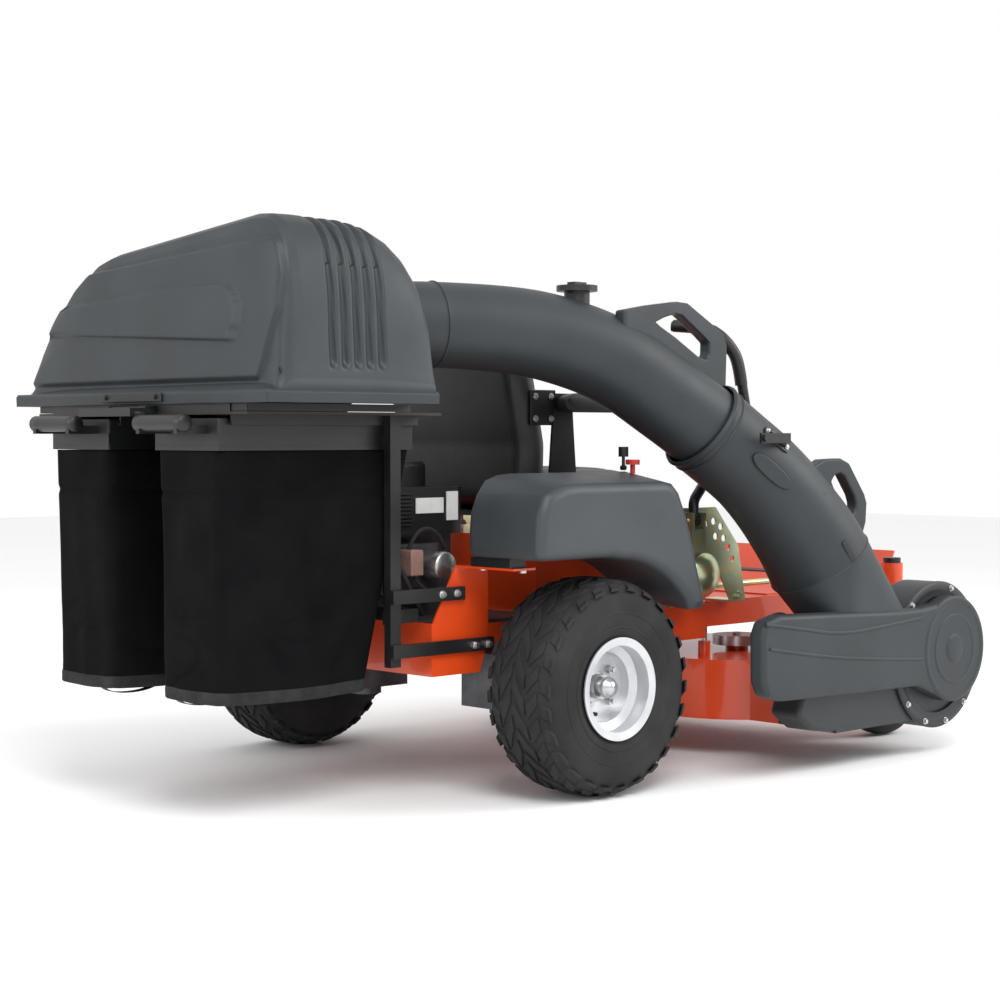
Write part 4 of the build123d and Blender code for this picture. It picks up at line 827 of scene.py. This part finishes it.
# ------------------------------------------------------------------ bags
def sack(name, s):
    """Sewn grass bag with a stiff collar band, creases and a sag."""
    y = s * BAG_Y
    rows_, cols_ = 90, 168
    verts = []
    seed = 3.1 if s > 0 else 8.7
    for r in range(rows_):
        t = r / (rows_ - 1)
        z = 789 - (789 - 264) * t
        x0 = -878 + 8 * t
        x1 = -351 + (-478 + 351) * t
        hy = 114.6 - 4 * t
        n = 26 - 10 * t
        for c in range(cols_):
            f = c / cols_ * 4
            side, g = int(f), f - int(f)
            if side == 0:
                px, py, nx, ny = x0, -hy + 2 * hy * g, -1, 0
            elif side == 1:
                px, py, nx, ny = x0 + (x1 - x0) * g, hy, 0, 1
            elif side == 2:
                px, py, nx, ny = x1, hy - 2 * hy * g, 1, 0
            else:
                px, py, nx, ny = x1 + (x0 - x1) * g, -hy, 0, -1
            # Round the four upright corners
            rad = 26
            cxn, cyn = (px - (x0 + x1) / 2), py
            ex, ey = (x1 - x0) / 2 - rad, hy - rad
            if abs(cxn) > ex and abs(cyn) > ey:
                v = Vector((abs(cxn) - ex, abs(cyn) - ey))
                v = v.normalized() * rad
                px = (x0 + x1) / 2 + math.copysign(ex + v.x, cxn)
                py = math.copysign(ey + v.y, cyn)
            mid = math.sin(math.pi * g)
            body_ = smooth(t, 0.10, 0.3) * (1 - 0.5 * smooth(t, 0.85, 1.0))
            puff = 3.0 * mid * body_
            P = Vector((px * 0.004 + seed, py * 0.004, z * 0.0022))
            w = noise.noise(P * 1.4) * 7 + noise.noise(P * 3.3 + Vector((4, 1, 7))) * 3.2
            fold = abs(noise.noise(Vector((px * 0.010 + seed, py * 0.010, z * 0.0028)))) * 7
            w = (w - fold) * body_ * (0.35 + 0.65 * mid) * (1 + 0.7 * smooth(t, 0.6, 0.95))
            crease = abs(noise.noise(Vector((px * 0.006 + seed, py * 0.006, z * 0.013 + seed))))
            w -= 5 * max(0.0, 0.12 - crease) / 0.12 * smooth(t, 0.45, 0.8) * mid
            stitch = -2.2 * math.exp(-((z - 700) / 3.0) ** 2) - 1.6 * math.exp(-((z - 707) / 2.0) ** 2)
            k = puff + w + stitch - (2.5 if z < 702 and z > 690 else 0)
            k = max(-16, min(6, k))
            sag = 6 * math.sin(math.pi * min(1, max(0, g))) * t * t if side in (1, 3) else 3 * mid * t * t
            verts.append(Vector((px + nx * k, y + py + ny * k, z - sag)) * MM)
    faces = grid_faces(rows_, cols_, True)
    # Floor of the bag
    base = (rows_ - 1) * cols_
    ring = base
    for step in range(1, 7):
        f = 1 - step / 6.3
        start = len(verts)
        cx = sum((verts[base + c].x for c in range(cols_))) / cols_
        for c in range(cols_):
            v = verts[base + c]
            verts.append(Vector((cx + (v.x - cx) * f, y * MM + (v.y - y * MM) * f,
                v.z - 0.004 * math.sin(step / 6 * math.pi / 2))))
        for c in range(cols_):
            c2 = (c + 1) % cols_
            faces.append((ring + c, start + c, start + c2, ring + c2))
        ring = start
    faces.append(tuple(ring + c for c in range(cols_)))
    obj = finish_piece(name + "_sack_cloth", verts, faces, CLOTH, name + "_sack", slot="bag_cloth")
    m = obj.modifiers.new("wall", "SOLIDIFY")
    m.thickness = 0.002
    m.offset = -1
    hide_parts(name + "_bag")
    # Hem strip round the foot
    hem = []
    for c in range(cols_):
        for row, out in ((rows_ - 5, 0.0008), (rows_ - 4, 0.0022), (rows_ - 1, 0.0022)):
            v = verts[row * cols_ + c]
            cx = (-870 - 478) / 2 * MM
            d = Vector((v.x - cx, v.y - y * MM, 0)).normalized()
            hem.append(v + d * out)
        hem.append(verts[(rows_ - 1) * cols_ + c] + Vector((0, 0, -0.003)))
    hem_faces = grid_faces(cols_, 4, False, True)
    finish_piece(name + "_bag_hem", hem, hem_faces, HEM, name + "_sack")
    # Strap loop under the foot
    strap = []
    for k in range(17):
        a = math.pi * k / 16
        px, pz = -790 + 70 * math.cos(a), 262 - 18 * math.sin(a)
        for dy, dz in ((-11, 0), (11, 0), (11, -1.6), (-11, -1.6)):
            strap.append(Vector((px, y - s * 60 + dy, pz + dz)) * MM)
    strap_faces = grid_faces(17, 4, True)
    finish_piece(name + "_bag_strap", strap, strap_faces, BLACK, name + "_sack")
    # Collar bands and the handle's grip
    for z0, z1, g in ((826, 856, 1.5), (790, 800, 1.2)):
        pts = []
        for ax, ay in ((-878, -115), (-350, -115), (-350, 115), (-878, 115)):
            pts.append((ax, ay))
        lo = [(ax + math.copysign(g, ax + 614), y + ay + math.copysign(g, ay), z0) for ax, ay in pts]
        hi = [(ax + math.copysign(g, ax + 614), y + ay + math.copysign(g, ay), z1) for ax, ay in pts]
        verts2 = mm(lo) + mm(hi)
        f2 = [(i, (i + 1) % 4, 4 + (i + 1) % 4, 4 + i) for i in range(4)]
        finish_piece("%s_collar_%d" % (name, z0), verts2, f2, BLACK, name + "_sack", bevel=0.006)
    turned(name + "_handle_grip", [(-86, 0.1), (-86, 15), (-83, 18), (-60, 17.4), (0, 17.8), (60, 17.4),
        (83, 18), (86, 15), (86, 0.1)],
           (-940, y, 847), (0, 1, 0), BLACK, name + "_sack", steps=40)


for name, s in SIDES:
    sack(name, s)


# ------------------------------------------------------------------ seat
def cushion(box, crown):
    """Crowned closed pad that fills the box, with sewn channels across its face."""
    (x0, y0, z0), (x1, y1, z1) = box
    n = 40
    verts, faces = [], []
    for top in (1, 0):
        for i in range(n + 1):
            for j in range(n + 1):
                u, v = i / n * 2 - 1, j / n * 2 - 1
                e = (1 - abs(u) ** 5) * (1 - abs(v) ** 5)
                edge = max(0.0, e) ** 0.35
                px = (x0 + x1) / 2 + (x1 - x0) / 2 * u * (0.94 + 0.06 * (1 - abs(v) ** 6))
                py = (y0 + y1) / 2 + (y1 - y0) / 2 * v * (0.94 + 0.06 * (1 - abs(u) ** 6))
                mid = z0 + (z1 - z0) * 0.42
                if top:
                    channels = sum(math.exp(-((u - q) / 0.03) ** 2) for q in (-0.4, 0.0, 0.4))
                    seam = 6 * math.exp(-((abs(v) - 0.62) / 0.03) ** 2) + 4 * channels * (abs(v) < 0.6)
                    pz = mid + (z1 - mid) * edge * (1 - crown * (u * u + v * v) / 4) - seam * edge
                else:
                    pz = mid - (mid - z0) * min(1.0, edge * 1.3)
                verts.append(Vector((px, py, pz)) * MM)
    m = n + 1
    for base in (0, m * m):
        for i in range(n):
            for j in range(n):
                faces.append((base + i * m + j, base + (i + 1) * m + j, base + (i + 1) * m + j + 1,
                    base + i * m + j + 1))
    return verts, faces


v, f = cushion(((200, -240, 632.5), (540, 240, 742)), 0.35)
pad_obj = finish_piece("seat_pad", v, f, VINYL, "seat", slot="seat_vinyl")
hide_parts("seat_cushion")
v, f = cushion(((0, -240, 0), (430, 240, 105)), 0.3)
lean = []
for p in v:
    h, y, d = p.x, p.y, p.z
    z = 0.650 + h
    back = max(0.0, (z - 0.80)) * 0.22
    lean.append(Vector((0.185 - 0.105 + d - back, y, z)))
back_obj = finish_piece("seat_back_pad", lean, f, VINYL, "seat", slot="seat_vinyl")
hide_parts("seat_back")
for name, s in SIDES:
    y0, y1 = sorted((s * 250, s * 298))
    v, f = cushion(((172, y0, 878), (438, y1, 926)), 0.2)
    arm = finish_piece(name + "_arm_pad", v, f, VINYL, name + "_arm", slot="seat_vinyl")
    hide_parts(name + "_armrest")
    prism(name + "_arm_plate", [(96, s * 241, 846), (182, s * 241, 846), (182, s * 241, 932), (96, s * 241,
        932)],
          [(96, s * 246, 846), (182, s * 246, 846), (182, s * 246, 932), (96, s * 246, 932)], STEEL_BLACK,
              "seat", bevel=0.002)
    for k, (x, z) in enumerate(((112, 862), (166, 862), (112, 916), (166, 916))):
        hexbolt("%s_arm_bolt_%d" % (name, k), (x, s * 246, z), (0, s, 0), 6, 4, BRIGHT, "seat")
    # Foam grip on the lap bar
    tube(name + "_bar_grip", [(668, s * 430, 950), (657, s * 430, 1006), (640, s * 418, 1046), (612,
        s * 392, 1084), (590, s * 350, 1097), (562, s * 294, 1101)], 16, BLACK, name + "_bar")

# ------------------------------------------------------------------ engine bay and small fittings
for k in range(9):
    z = 612 + k * 9
    prism("shroud_louvre_%d" % k, [(-355 + 4 * (k % 2), -206, z), (-250, -206, z), (-250, -206, z + 4),
        (-355 + 4 * (k % 2), -206, z + 4)],
          [(-355 + 4 * (k % 2), -199, z), (-250, -199, z), (-250, -199, z + 4), (-355 + 4 * (k % 2), -199,
              z + 4)], BLACK, "chassis", bevel=0.001)
prism("label_a", [(-236, -204, 640), (-150, -204, 640), (-150, -204, 676), (-236, -204, 676)],
      [(-236, -200.5, 640), (-150, -200.5, 640), (-150, -200.5, 676), (-236, -200.5, 676)], LABEL,
          "chassis", bevel=0.0006)
prism("label_b", [(-140, -204, 622), (-104, -204, 622), (-104, -204, 690), (-140, -204, 690)],
      [(-140, -200.5, 622), (-104, -200.5, 622), (-104, -200.5, 690), (-140, -200.5, 690)], LABEL,
          "chassis", bevel=0.0006)
turned("oil_filter", [(0, 0.1), (0, 30), (4, 34), (60, 34), (66, 30), (66, 0.1)], (-210, -214, 520), (0, -1,
    0), BRIGHT, "chassis", steps=40)
prism("fuse_box", [(-300, -216, 500), (-262, -216, 500), (-262, -216, 560), (-300, -216, 560)],
      [(-300, -260, 500), (-262, -260, 500), (-262, -260, 560), (-300, -260, 560)], PINK, "chassis",
          bevel=0.004)
tube("fuel_hose", [(-290, -238, 560), (-280, -250, 600), (-240, -252, 610), (-200, -244, 590), (-180, -240,
    560)], 5, RUBBER, "chassis")
tube("vent_hose", [(-310, -150, 580), (-330, -220, 560), (-320, -260, 500), (-300, -270, 450), (-260, -250,
    410)], 6, RUBBER, "chassis")
tube("loom", [(-280, -240, 500), (-270, -262, 470), (-220, -268, 456), (-150, -262, 452), (-90, -240, 440)],
    4, RUBBER, "chassis")
for name, s in SIDES:
    out = s * 365
    for k, (x, z) in enumerate(((-205, 345), (-165, 345), (-300, 465), (-255, 465))):
        hexbolt("%s_bar_bolt_%d" % (name, k), (x, out + (s * 8 if k < 2 else 0), z), (0, s, 0), 7, 6,
            BRIGHT, "chassis")
    tube(name + "_drive_rod", [(-120, s * 372, 250), (0, s * 372, 262), (60, s * 372, 262)], 5, ZINC,
        "chassis")
    tube(name + "_lever_rod", [(480, s * 366, 432), (600, s * 366, 434), (760, s * 366, 437), (906, s * 366,
        437)], 8, ZINC, "chassis")
    hexbolt(name + "_quadrant_bolt", (690, s * 404, 412), (0, s, 0), 8, 8, ZINC, "chassis")
    turned(name + "_quadrant_dome", [(0, 62), (4, 60), (16, 52), (26, 36), (32, 14), (33, 0.1)], (560,
        s * 392, 470), (0, s, 0), ZINC, "chassis", steps=48)
# Mat on the toe board
prism("toe_mat", [(1272, -360, 426), (1272, 360, 426), (1334, 360, 426), (1334, -360, 426)],
      [(1272, -360, 429), (1272, 360, 429), (1334, 360, 429), (1334, -360, 429)], MAT_GREY, "chassis",
          bevel=0.001)

# ------------------------------------------------------------------ stage, light, camera
FLOOR_HALF = 14
floor = bpy.data.objects.new("floor", bpy.data.meshes.new("floor"))
floor.data.from_pydata([(-FLOOR_HALF, -FLOOR_HALF, 0), (FLOOR_HALF, -FLOOR_HALF, 0), (FLOOR_HALF,
    FLOOR_HALF, 0), (-FLOOR_HALF, FLOOR_HALF, 0)], [], [(0, 1, 2, 3)])
floor.data.materials.append(FLOOR)
bpy.context.scene.collection.objects.link(floor)
world = bpy.data.worlds.new("sky")
bpy.context.scene.world = world
world.use_nodes = True
world.node_tree.nodes["Background"].inputs["Color"].default_value = (1, 1, 1, 1)
world.node_tree.nodes["Background"].inputs["Strength"].default_value = 1.0


def lamp(name, place, target, power, span):
    data = bpy.data.lights.new(name, "AREA")
    data.energy = power
    data.size = span
    obj = bpy.data.objects.new(name, data)
    bpy.context.scene.collection.objects.link(obj)
    obj.location = place
    obj.rotation_euler = (Vector(target) - Vector(place)).to_track_quat("-Z", "Y").to_euler()


lamp("key", (-2.0, -3.5, 4.2), (0.1, -0.1, 0.6), 170, 2.6)
lamp("fill", (-4.5, 1.0, 2.4), (-0.2, 0, 0.7), 60, 2.6)
lamp("front", (3.4, -3.2, 2.8), (0.6, -0.3, 0.5), 90, 2.2)

cam_data = bpy.data.cameras.new("camera")
cam_data.lens = 72.03
cam_data.sensor_width = 36
cam = bpy.data.objects.new("camera", cam_data)
bpy.context.scene.collection.objects.link(cam)
cam.location = (-3.309, -3.680, 0.823)
cam.rotation_euler = Vector((0.6927, 0.7204, -0.0326)).to_track_quat("-Z", "Y").to_euler()
bpy.context.scene.camera = cam
bpy.context.scene.view_settings.view_transform = "Standard"
